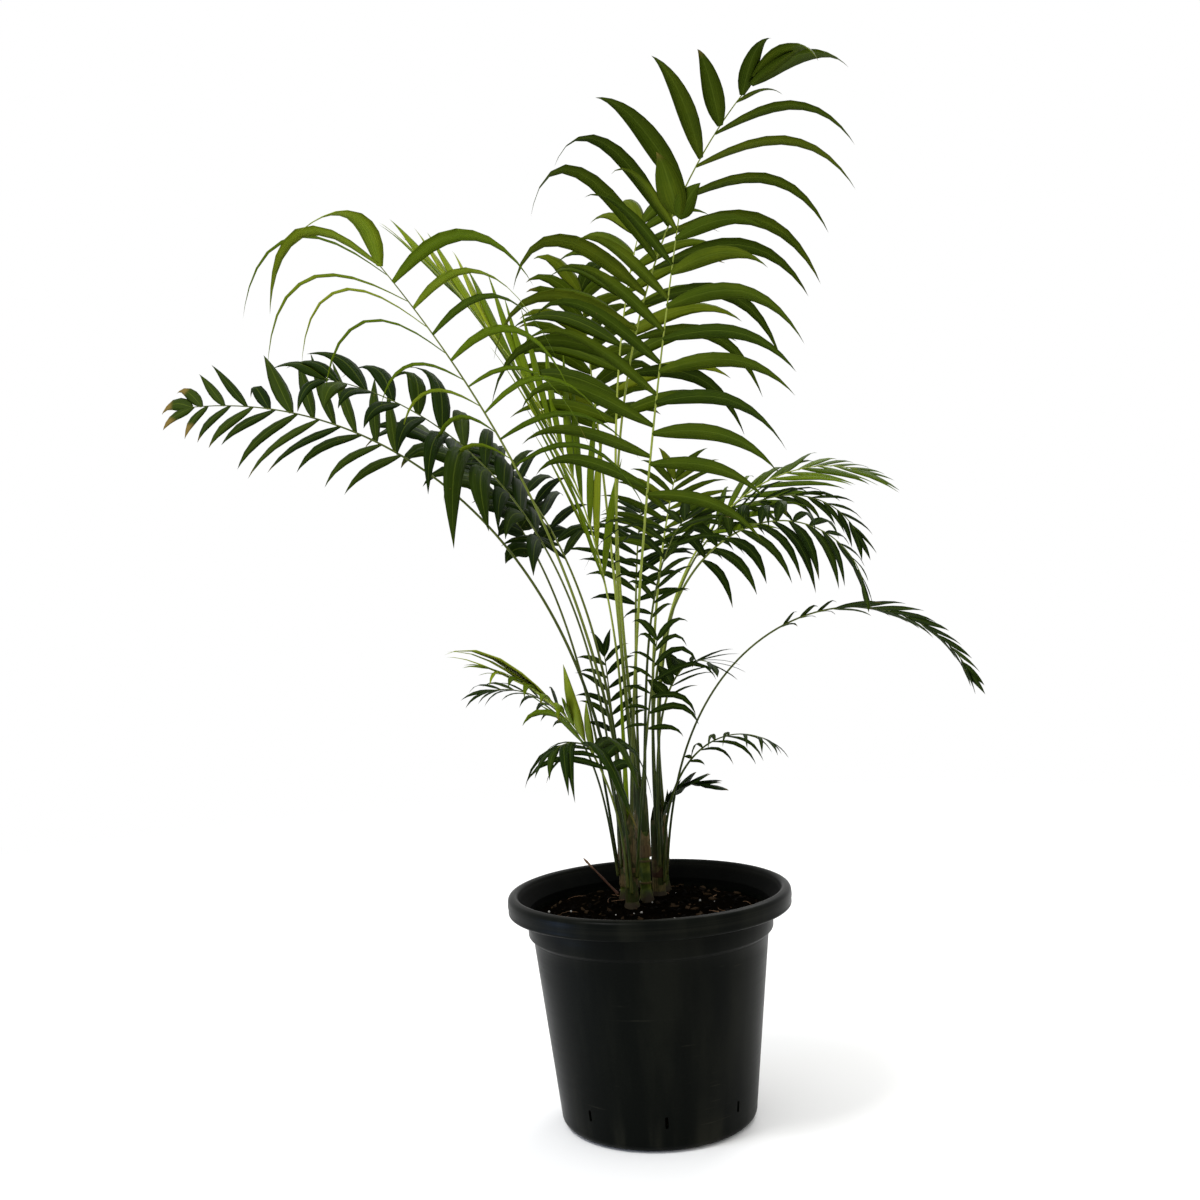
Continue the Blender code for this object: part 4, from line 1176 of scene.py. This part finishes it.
def leafletLine(frond, line, share, side, dealer, change):
    # where a leaflet runs: its points, its ways ahead and across at each, and its length
    shape = leafShape
    wild = restless.get(frond.name, 1.0)
    t = frond.stalk + (1.0 - frond.stalk) * share
    along, right, face = stemFrame(frond, t)
    opening = frond.openLow + (frond.openTip - frond.openLow) * share
    opening *= shape["terminalOpening"] if isTerminal(share) else 1.0
    opening = math.radians(opening + spread(dealer, shape["openSpread"] * wild) + change.get("open", 0.0))
    lift = math.radians(frond.lift + spread(dealer, shape["openSpread"] * wild) + change.get("lift", 0.0))
    aside = right * side * math.cos(lift) + face * math.sin(lift)
    start = along * math.cos(opening) + aside * math.sin(opening)
    length = frond.leaf * leafletShare(frond, share) * (1.0 - shape["lengthSpread"] * wild * dealer.random())
    length *= change.get("length", 1.0) * (shape["smallLonger"] if frond.leaf < shape["smallBelow"] else 1.0)
    across = face.cross(start).normalized()
    twist = math.radians(frond.twist)
    across = across * math.cos(twist) + face * side * math.sin(twist)
    droop = frond.droop * change.get("droop", 1.0)
    droop *= 1.0 + spread(dealer, shape["droopSpread"] * min(wild, shape["wildestDroop"]))
    curl = change.get("curl", shape["curl"]) * dealer.uniform(*shape["curlDealt"])
    pull = Vector(change.get("pull", origin))
    points, ways, acrosses = [pointAt(line, t)], [], []
    for step in range(shape["steps"]):
        out = (step + 0.5) / shape["steps"]
        fall = droop * out ** shape["droopPower"] + curl * out ** shape["curlPower"]
        way = (start - up * fall + pull * out ** 2).normalized()
        across = (across - way * across.dot(way)).normalized()
        ways.append(way)
        acrosses.append(across)
        points.append(points[-1] + way * (length / shape["steps"]))
    return points, ways + ways[-1:], acrosses + acrosses[-1:], length


def isTerminal(share):
    return share >= leafShape["terminals"][0][0]


def leafletSection(reach, thick, wave):
    # five corners over the blade from edge to edge, as shares of its half width, and one under the rib
    shape = leafShape
    arch = shape["arch"] - 0.5 * shape["fold"]
    heights = ((-1.0, -shape["fold"]), (-shape["archAt"], arch), (0.0, -shape["groove"]),
               (shape["archAt"], arch), (1.0, -shape["fold"]))
    section = [(reach * place, reach * height + wave * place * abs(place)) for place, height in heights]
    return section + [(0.0, -reach * shape["groove"] - thick)]


def addLeaflet(store, frond, line, share, side, dealer, change):
    shape = leafShape
    points, ways, acrosses, length = leafletLine(frond, line, share, side, dealer, change)
    half = 0.5 * frond.width * (1.0 + shape["widthFollows"] * (leafletShare(frond, share) - 1.0))
    half *= change.get("width", 1.0) * (shape["terminalWider"] if isTerminal(share) else 1.0)
    half *= 1.0 + spread(dealer, shape["widthSpread"])
    half *= shape["smallNarrower"] if frond.leaf < shape["smallBelow"] else 1.0
    spin = math.radians(spread(dealer, shape["twistSpread"]) + change.get("spin", 0.0))
    bow = shape["bow"] * length * side * dealer.uniform(*shape["bowDealt"])
    ripple = dealer.uniform(0.0, wholeTurn)
    corners = []
    stations = shape["longStations"] if frond.leaf > shape["longFrom"] else shape["stations"]
    for u in stations[:-1]:
        way = pointAt(ways, u).normalized()
        flat = pointAt(acrosses, u)
        flat = (flat - way * flat.dot(way)).normalized()
        upright = way.cross(flat)
        turn = spin * u
        sideways = flat * math.cos(turn) + upright * math.sin(turn)
        above = upright * math.cos(turn) - flat * math.sin(turn)
        reach = half * ease(u, shape["widths"])
        root = max(0.0, 1.0 - u / shape["rootReach"])
        thick = shape["thickness"] + (shape["rootThickness"] - shape["thickness"]) * root
        wave = shape["ripple"] * reach * math.sin(ripple + shape["ripples"] * u)
        centre = pointAt(points, u) + sideways * (bow * math.sin(math.pi * u) * 0.5)
        for out, height in leafletSection(reach, min(thick, reach * shape["mostThickness"]), wave):
            corners.append(centre + sideways * out + above * height)
    corners.append(points[-1])
    faces, uvs, under = leafletFaces(stations)
    shade = min(1.0, max(0.0, dealer.gauss(*shape["shade"]) + change.get("shade", 0.0)))
    age = 0.0
    if dealer.random() < shape["agedShare"]:
        age = min(shape["oldest"], max(0.0, dealer.gauss(*shape["age"])))
    age = min(1.0, max(age, change.get("age", 0.0)))
    addShape(store, corners, faces, uvs, under, shade, 0.5, age)


def leafletFaces(stations):
    # six faces round each stretch, and six that meet in the tip
    rows = len(stations) - 1
    across = leafShape["mapAcross"]
    faces, uvs, under = [(5, 4, 3, 2, 1, 0)], [[(0.5, 0.0)] * 6], [0.0]
    for row in range(rows):
        for corner in range(6):
            after = (corner + 1) % 6
            low = 6 * row
            uv = [(across[corner], stations[row]), (across[after], stations[row])]
            if row < rows - 1:
                faces.append((low + corner, low + after, low + 6 + after, low + 6 + corner))
                uv += [(across[after], stations[row + 1]), (across[corner], stations[row + 1])]
            else:
                faces.append((low + corner, low + after, 6 * rows))
                uv.append((0.5, 1.0))
            uvs.append(uv)
            under.append(1.0 if corner >= 4 else 0.0)
    return faces, uvs, under


# fronds whose leaflets stand less evenly than the others'
restless = {
    "dark_left": 2.4, "broad_left": 2.4, "far_left": 1.4, "hand": 2.0, "low_left": 1.8,
    "right_drooping": 1.7, "right_middle": 1.6, "low_front": 3.4, "front_middle": 3.4, "low_right": 2.2,
    "low_left_back": 2.4, "middle_back": 3.0, "middle_back_left": 2.4, "low_back": 3.4, "arch_left": 1.6,
}
# leaflets that hang, curl or spread unlike their neighbours: frond, first and last leaflet, step and changes
# (even leaflets stand on the left of the rib seen from its foot, odd ones on the right; later rows win)
# a change's shade moves leaflets between the painted shaded and painted sunlit greens
ownWays = [
    ("arch_left", 1, 7, 2, {"width": 0.55, "curl": 1.6, "length": 0.8}),
    ("arch_left", 9, 15, 2, {"width": 0.45, "curl": 3.4, "length": 1.40, "droop": 0.80, "shade": 0.1}),
    ("arch_left", 0, 6, 2, {"width": 0.75, "open": 15.0, "length": 1.1, "shade": -0.40,
        "pull": (0.5, 0.0, -0.2)}),
    ("arch_left", 8, 12, 2, {"width": 1.15, "open": 15.0, "length": 1.2, "pull": (0.6, 0.0, -0.4),
        "curl": 1.6}),
    ("arch_left", 10, 10, 1, {"width": 0.9, "shade": -0.35}),
    ("arch_left", 14, 14, 1, {"width": 1.40, "open": 18.0, "length": 1.25, "pull": (0.8, 0.0, -0.3),
        "curl": 1.6}),
    ("arch_left", 16, 16, 1, {"width": 1.8, "droop": 0.9, "length": 0.80, "pull": (-2.0, 0.0, 0.0)}),
    ("arch_left", 17, 17, 1, {"width": 1.6, "droop": 1.5, "open": 8.0, "length": 1.15, "shade": 0.25,
        "pull": (0.5, 0.0, 0.0)}),
    ("bright_left", 0, 27, 1, {"shade": 0.20}),
    ("bright_left", 1, 23, 3, {"shade": -0.25}),
    ("dark_left", 0, 20, 2, {"droop": 2.0, "length": 1.05, "open": 8.0}),
    ("dark_left", 0, 4, 2, {"length": 0.72}),
    ("dark_left", 1, 21, 2, {"droop": 1.3}),
    ("dark_left", 11, 21, 2, {"droop": 1.1, "lift": 26.0, "width": 1.3, "open": 10.0, "length": 1.12,
        "pull": (-1.2, -0.5, 0.0)}),
    ("dark_left", 5, 5, 1, {"width": 1.5, "length": 1.1}),
    ("dark_left", 6, 6, 1, {"droop": 3.0, "width": 1.2, "pull": (0.8, 0.0, 0.0)}),
    ("dark_left", 8, 8, 1, {"droop": 6.0, "length": 1.5, "width": 1.25, "open": 20.0}),
    ("dark_left", 14, 14, 1, {"length": 0.75}),
    ("dark_left", 3, 18, 5, {"width": 1.3, "shade": 0.35}),
    ("broad_left", 0, 16, 2, {"droop": 2.0}),
    ("broad_left", 0, 4, 2, {"length": 0.7}),
    ("broad_left", 3, 5, 2, {"width": 1.2, "open": -10.0}),
    ("far_left", 0, 21, 1, {"shade": 0.40}),
    ("far_left", 1, 17, 2, {"droop": 0.35, "curl": 0.1, "open": -6.0}),
    ("far_left", 9, 9, 1, {"length": 0.75}),
    ("far_left", 11, 11, 1, {"width": 1.4}),
    ("far_left", 13, 13, 1, {"curl": 3.0, "droop": 0.8, "width": 1.3, "length": 0.8}),
    ("far_left", 18, 21, 1, {"age": 1.0, "droop": 1.9, "width": 1.2}),
    ("hand", 0, 13, 1, {"droop": 1.1, "width": 1.3}),
    ("hand", 0, 0, 1, {"width": 1.7, "length": 0.95, "shade": 0.25}),
    ("hand", 2, 4, 2, {"width": 2.3, "length": 1.7, "shade": 0.1}),
    ("hand", 6, 6, 1, {"width": 2.3, "length": 1.9, "shade": 0.15, "droop": 1.4, "pull": (0.7, 0.2, 0.0)}),
    ("hand", 8, 10, 2, {"length": 1.45, "width": 1.5, "droop": 1.4, "pull": (0.2, 0.0, 0.0)}),
    ("hand", 1, 5, 4, {"length": 1.15}),
    ("hand", 7, 11, 2, {"length": 0.65, "width": 0.8}),
    ("low_left", 0, 0, 1, {"open": -12.0, "length": 1.35, "width": 1.4, "shade": 0.1, "droop": 0.2}),
    ("low_left", 2, 2, 1, {"open": -10.0, "length": 1.60, "width": 2.1, "shade": 0.4, "droop": 0.2}),
    ("low_left", 5, 5, 1, {"open": 10.0, "length": 0.75, "width": 1.3, "droop": 2.6}),
    ("low_left", 7, 7, 1, {"open": -34.0, "lift": 10.0, "length": 1.62, "width": 3.2, "droop": 1.3,
        "shade": 0.45}),
    ("low_left", 9, 9, 1, {"open": -28.0, "length": 1.35, "width": 2.3, "droop": 0.9, "shade": 0.3}),
    ("low_left", 11, 11, 1, {"open": -6.0, "length": 1.2, "width": 2.5, "droop": 0.4, "shade": 0.45}),
    ("low_left", 6, 14, 2, {"length": 0.60, "width": 1.2, "droop": 4.0, "shade": -0.2}),
    ("low_left", 13, 17, 1, {"length": 0.60, "width": 0.8, "shade": 0.2}),
    ("low_right", 1, 7, 2, {"width": 2.3, "length": 0.8, "droop": 0.2}),
    ("low_right", 0, 14, 2, {"width": 0.6}),
    ("right_long", 0, 4, 2, {"length": 0.7, "curl": 2.0}),
    ("right_long", 1, 5, 2, {"length": 0.6, "lift": 40.0, "curl": 2.5}),
    ("right_long", 6, 25, 1, {"width": 1.35, "length": 1.22, "droop": 1.6}),
    ("right_short", 0, 1, 1, {"length": 0.5}),
    ("right_short", 2, 6, 2, {"width": 1.25, "droop": 1.3}),
    ("right_lowest", 0, 11, 1, {"age": 0.6, "shade": -0.3, "width": 4.0, "open": -16.0, "droop": 0.5}),
    ("right_upper", 0, 23, 1, {"shade": -0.50}),
    ("right_upper", 0, 10, 2, {"open": -16.0, "droop": 3.0, "shade": -0.5}),
    ("right_drooping", 0, 16, 2, {"droop": 1.5, "length": 1.05, "open": 18.0}),
    ("right_drooping", 17, 25, 1, {"droop": 0.6, "length": 0.75}),
    ("top_right", 1, 7, 2, {"curl": 3.6, "length": 1.12, "width": 0.9, "droop": 0.85, "open": -7.0}),
    ("top_right", 0, 14, 2, {"length": 1.10, "droop": 1.12}),
    ("top_right", 8, 12, 2, {"length": 1.14, "open": 7.0}),
    ("top_right", 9, 9, 1, {"curl": 3.0, "length": 1.15, "droop": 0.8, "open": -4.0}),
    ("top_right", 11, 11, 1, {"curl": 0.1, "droop": 0.45, "width": 1.25, "open": 9.0}),
    ("top_right", 13, 13, 1, {"curl": 0.1, "droop": 0.36, "width": 1.25, "open": 2.0}),
    ("top_right", 15, 15, 1, {"curl": 0.8, "droop": 0.15, "length": 0.70, "width": 1.45, "open": 12.0}),
    ("top_right", 17, 17, 1, {"curl": 1.2, "droop": 0.2, "length": 0.72, "width": 1.3, "open": -4.0,
        "pull": (0.4, 0.0, -0.3)}),
    ("top_right", 16, 16, 1, {"length": 0.42, "width": 0.6}),
    ("top_right", 18, 18, 1, {"length": 0.98, "width": 1.6, "droop": 0.8}),
    ("top_right", 19, 19, 1, {"length": 1.0, "width": 1.35, "droop": 1.0, "open": -10.0}),
    ("front_middle", 0, 6, 2, {"length": 0.65, "width": 0.8}),
    ("front_middle", 1, 7, 2, {"length": 0.85, "width": 0.7, "droop": 1.6}),
    ("front_middle", 8, 12, 2, {"length": 1.3, "width": 0.9, "droop": 2.6}),
    ("front_middle", 9, 11, 2, {"length": 1.6, "width": 0.85, "droop": 2.2, "open": 12.0}),
    ("front_middle", 13, 13, 1, {"length": 2.1, "width": 0.5, "droop": 1.8, "open": 30.0}),
    ("low_front", 1, 11, 2, {"length": 0.7, "width": 0.7}),
    ("low_front", 0, 10, 2, {"droop": 1.4, "curl": 2.0, "length": 1.1, "width": 1.3}),
    ("low_front", 2, 6, 4, {"length": 1.35, "open": -10.0}),
    ("tall_front", 1, 5, 2, {"curl": 1.6, "droop": 0.65, "open": 10.0}),
    ("tall_front", 7, 17, 2, {"curl": 1.6, "droop": 0.55}),
    ("tall_front", 6, 10, 2, {"length": 1.10, "droop": 1.5}),
    ("tall_front", 12, 12, 1, {"length": 1.36, "droop": 1.5, "width": 1.15}),
    ("tall_front", 19, 19, 1, {"droop": 0.3, "width": 1.6, "length": 0.66}),
    ("tall_front", 18, 18, 1, {"droop": 0.3, "width": 1.3, "length": 0.5, "open": -14.0}),
]


def makeFronds():
    stalks = newStore()
    leaves = {tone: newStore() for tone in ("bright", "mid", "dark")}
    for number, frond in enumerate(fronds):
        dealer = random.Random(firstFrondSeed + number)
        addStalk(stalks, frond, dealer)
        line = stemLine(frond)
        for place, (share, side) in enumerate(leafletStations(frond)):
            change = {}
            for name, first, last, step, ways in ownWays:
                if name == frond.name and place in range(first, last + 1, step):
                    change.update(ways)
            addLeaflet(leaves[frond.tone], frond, line, share, side, dealer, change)
    names = ["stalk_" + frond.name for frond in fronds]
    finishWith(pieceFrom(stalks, "frond_stalks"), "frond_stalks", stalkFinish(), "stalk", *names)
    for tone, store in leaves.items():
        piece = pieceFrom(store, "leaflets_" + tone)
        names = ["blade_" + frond.name for frond in fronds if frond.tone == tone]
        finishWith(piece, "leaflets_" + tone, leafFinish(tone), "leaf_" + tone, *names)
        print("stage: leaflets", tone, len(piece.data.polygons), "faces")


makeFronds()


# sheaths: one papery wrap, modelled once and copied onto the canes and the stalk feet

sheathShape = {
    "sides": 20, "radius": 1.07, "wall": 0.06, "split": 34.0, "slant": (-0.48, 0.05, 1.0), "cutAt": 0.74,
    "joints": ((0.14, 1.0), (0.18, 1.0), (0.18, 0.97), (0.18, 0.95), (0.18, 0.93), (0.14, 0.92)),
    "uneven": 0.05, "lumps": (1.7, 1.7, 3.0), "seed": 5, "smooth": 60.0,
}
# each wrap: its foot's place below the cane's top, turn from the stalk's seat, radius, height and tones
wraps = {
    "outer": {"below": 0.030, "turn": 0.0, "radius": 0.0063, "height": 0.050, "tones": (0.15, 0.55)},
    "inner": {"below": 0.014, "turn": 160.0, "radius": 0.0060, "height": 0.046, "tones": (-0.25, 0.15)},
    "old": {"below": 0.040, "turn": 150.0, "radius": 0.0067, "height": 0.021, "tone": 0.8,
            "browns": (0.6, 0.95), "otherBrown": 0.4},
    "foot": {"below": 0.010, "radius": 0.0064, "height": 0.034, "tones": (0.0, 0.5), "browns": (0.0, 0.25)},
}


def modelSheath():
    # radius 1 and height 1: a split tube, its mouth cut aslant, high at +X
    shape = sheathShape
    startFresh()
    bpy.ops.mesh.primitive_circle_add(vertices=shape["sides"], radius=shape["radius"], fill_type="NOTHING",
                                      location=origin)
    sheath = bpy.context.object
    editAll()
    level = 0.0
    for rise, share in shape["joints"]:
        level += rise
        drawUp(rise, share, level)
    bpy.ops.mesh.select_all(action="SELECT")
    bpy.ops.mesh.bisect(plane_co=(0.0, 0.0, shape["cutAt"]), plane_no=shape["slant"], clear_outer=True)
    bpy.ops.mesh.select_all(action="DESELECT")
    leaveEdit()
    for face in sheath.data.polygons:
        turn = math.degrees(math.atan2(face.center.y, -face.center.x))
        face.select = abs(turn) < shape["split"] * face.center.z
    bpy.ops.object.mode_set(mode="EDIT")
    bpy.ops.mesh.delete(type="FACE")
    leaveEdit()
    for corner in sheath.data.vertices:
        lumps = Vector([place * often for place, often in zip(corner.co, shape["lumps"])])
        out = 1.0 + shape["uneven"] * noise.noise(lumps)
        corner.co.x *= out
        corner.co.y *= out
    shell = sheath.modifiers.new("wall", "SOLIDIFY")
    shell.thickness = shape["wall"]
    shell.offset = 1.0
    smooth = sheath.modifiers.new("smooth", "SUBSURF")
    smooth.levels = 1
    smooth.render_levels = 1
    applyAll(sheath)
    return sheath


def wrapAt(cane, level, turn, wrap):
    place = Vector((cane.x, cane.y, soilLevel + level - wrap["below"]))
    size = Matrix.Diagonal((wrap["radius"], wrap["radius"], wrap["height"], 1.0))
    return Matrix.Translation(place) @ Matrix.Rotation(math.radians(turn), 4, "Z") @ size


def makeSheaths():
    dealer = random.Random(sheathShape["seed"])
    places = []
    for cane in canes:
        seats = [frond.seat for frond in fronds if frond.cane == cane.name and frond.foot is None]
        seat = seats[0] if seats else 0.0
        # a short one and a longer green one round the stalk feet, and an old one below, dried to brown fibre
        for wrap in (wraps["outer"], wraps["inner"]):
            place = wrapAt(cane, cane.height, seat + wrap["turn"], wrap)
            places.append((place, dealer.uniform(*wrap["tones"]), 0.0))
        old = wraps["old"]
        brown = dealer.uniform(*old["browns"]) * (1.0 if cane.name == "right" else old["otherBrown"])
        places.append((wrapAt(cane, cane.height, seat + old["turn"], old), old["tone"], brown))
    wrap = wraps["foot"]
    for frond in fronds:
        if frond.foot is not None:
            cane = next(item for item in canes if item.name == frond.cane)
            place = wrapAt(cane, frond.foot, frond.seat, wrap)
            places.append((place, dealer.uniform(*wrap["tones"]), dealer.uniform(*wrap["browns"])))
    joined = copiesOf(modelSheath(), places, "leaf_sheaths")
    settle(joined, sheathShape["smooth"])
    finishWith(joined, "leaf_sheaths", sheathFinish(), "cane")


makeSheaths()
print("stage: sheaths")


# the rolled new leaf and the dead stalk

spearShape = {
    "cane": "front_left", "seat": 95.0, "length": 0.150, "radius": 0.0026, "lean": 3.0, "sides": 16,
    "rows": 16, "widths": ((0.0, 0.9), (0.35, 1.0), (0.75, 0.7), (1.0, 0.12)), "winding": 2.2,
    "rollInner": 0.80, "rollStep": 0.24, "shade": 0.55, "smooth": 40.0,
}
deadShape = {
    "foot": (-0.030, 0.064), "bearing": 127.0, "length": 0.066, "rise": 27.0, "radius": 0.0010,
    "thicker": 1.5, "rows": 24, "gap": 0.0003, "sides": 9, "flatten": 0.7, "sagDown": 0.45,
    "sagAside": 0.25, "sag": 0.0050, "kinks": (0.0022, 9.0),
    "widths": ((0.0, 1.0), (0.3, 0.8), (0.85, 0.6), (0.93, 0.95), (1.0, 0.35)), "knots": (0.1, 17.0),
    "tones": ((0.0, 0.0), (0.7, 0.1), (0.9, 0.9), (1.0, 1.0)),
}


def makeSpear():
    shape = spearShape
    cane = next(item for item in canes if item.name == shape["cane"])
    foot = Vector((cane.x, cane.y, soilLevel + cane.height + stalkShape["gap"]))
    foot += bearing(shape["seat"]) * stalkShape["topSeat"]
    lean = math.radians(shape["lean"])
    way = bearing(shape["seat"]) * math.sin(lean) + up * math.cos(lean)
    startFresh()
    radius = shape["radius"] * ease(0.0, shape["widths"])
    bpy.ops.mesh.primitive_circle_add(vertices=shape["sides"], radius=radius, fill_type="NGON",
                                      location=origin)
    spear = bpy.context.object
    editAll()
    rows = shape["rows"]
    rise = shape["length"] / rows
    for row in range(rows):
        share = ease((row + 1) / rows, shape["widths"]) / ease(row / rows, shape["widths"])
        drawUp(rise, share, rise * (row + 1))
    leaveEdit(outward=True)
    # the roll: a spiral seam that winds up the leaf
    for corner in spear.data.vertices:
        turn = math.atan2(corner.co.y, corner.co.x) + shape["winding"] * corner.co.z / shape["length"]
        fold = shape["rollInner"] + shape["rollStep"] * ((turn / (2.0 * math.pi)) % 1.0)
        corner.co.x *= fold
        corner.co.y *= fold
    uvMap = spear.data.uv_layers.new(name="along")
    for loop in spear.data.loops:
        corner = spear.data.vertices[loop.vertex_index].co
        around = (math.atan2(corner.y, corner.x) / (2.0 * math.pi)) % 1.0
        uvMap.data[loop.index].uv = (around, corner.z / shape["length"])
    count = len(spear.data.vertices)
    addLayer(spear.data, "shade", [shape["shade"]] * count)
    addLayer(spear.data, "age", [0.0] * count)
    addLayer(spear.data, "under", [0.0] * len(spear.data.loops), "CORNER")
    spear.rotation_euler = way.to_track_quat("Z", "Y").to_euler()
    spear.location = foot
    settle(spear, shape["smooth"])
    finishWith(spear, "new_leaf_spear", leafFinish("bright"), "leaf_bright", "spear_new_leaf")


def makeDeadStalk():
    shape = deadShape
    rise = math.radians(shape["rise"])
    way = bearing(shape["bearing"]) * math.cos(rise) + up * math.sin(rise)
    right = way.orthogonal().normalized()
    foot = Vector((*shape["foot"], soilLevel + shape["radius"] + shape["gap"]))
    kink, kinks = shape["kinks"]
    knot, knots = shape["knots"]
    points, radii, tones = [], [], []
    for row in range(shape["rows"] + 1):
        t = row / shape["rows"]
        sag = shape["sag"] * math.sin(math.pi * t) + kink * math.sin(kinks * t)
        aside = right * shape["sagAside"] - up * shape["sagDown"]
        points.append(foot + way * (shape["length"] * t) + aside * sag)
        thick = shape["thicker"] * ease(t, shape["widths"]) * (1.0 + knot * math.sin(knots * t))
        radii.append(shape["radius"] * thick)
        tones.append(ease(t, shape["tones"]))
    frames = [(way, right, way.cross(right))] * len(points)
    store = newStore()
    addTube(store, points, frames, radii, shape["sides"], shape["flatten"], 0.5, tones, 0.0)
    finishWith(pieceFrom(store, "dead_stalk_dry"), "dead_stalk_dry", dryFinish(), "dead_stalk", "dead_stalk")


makeSpear()
makeDeadStalk()
print("stage: new leaf and dead stalk")
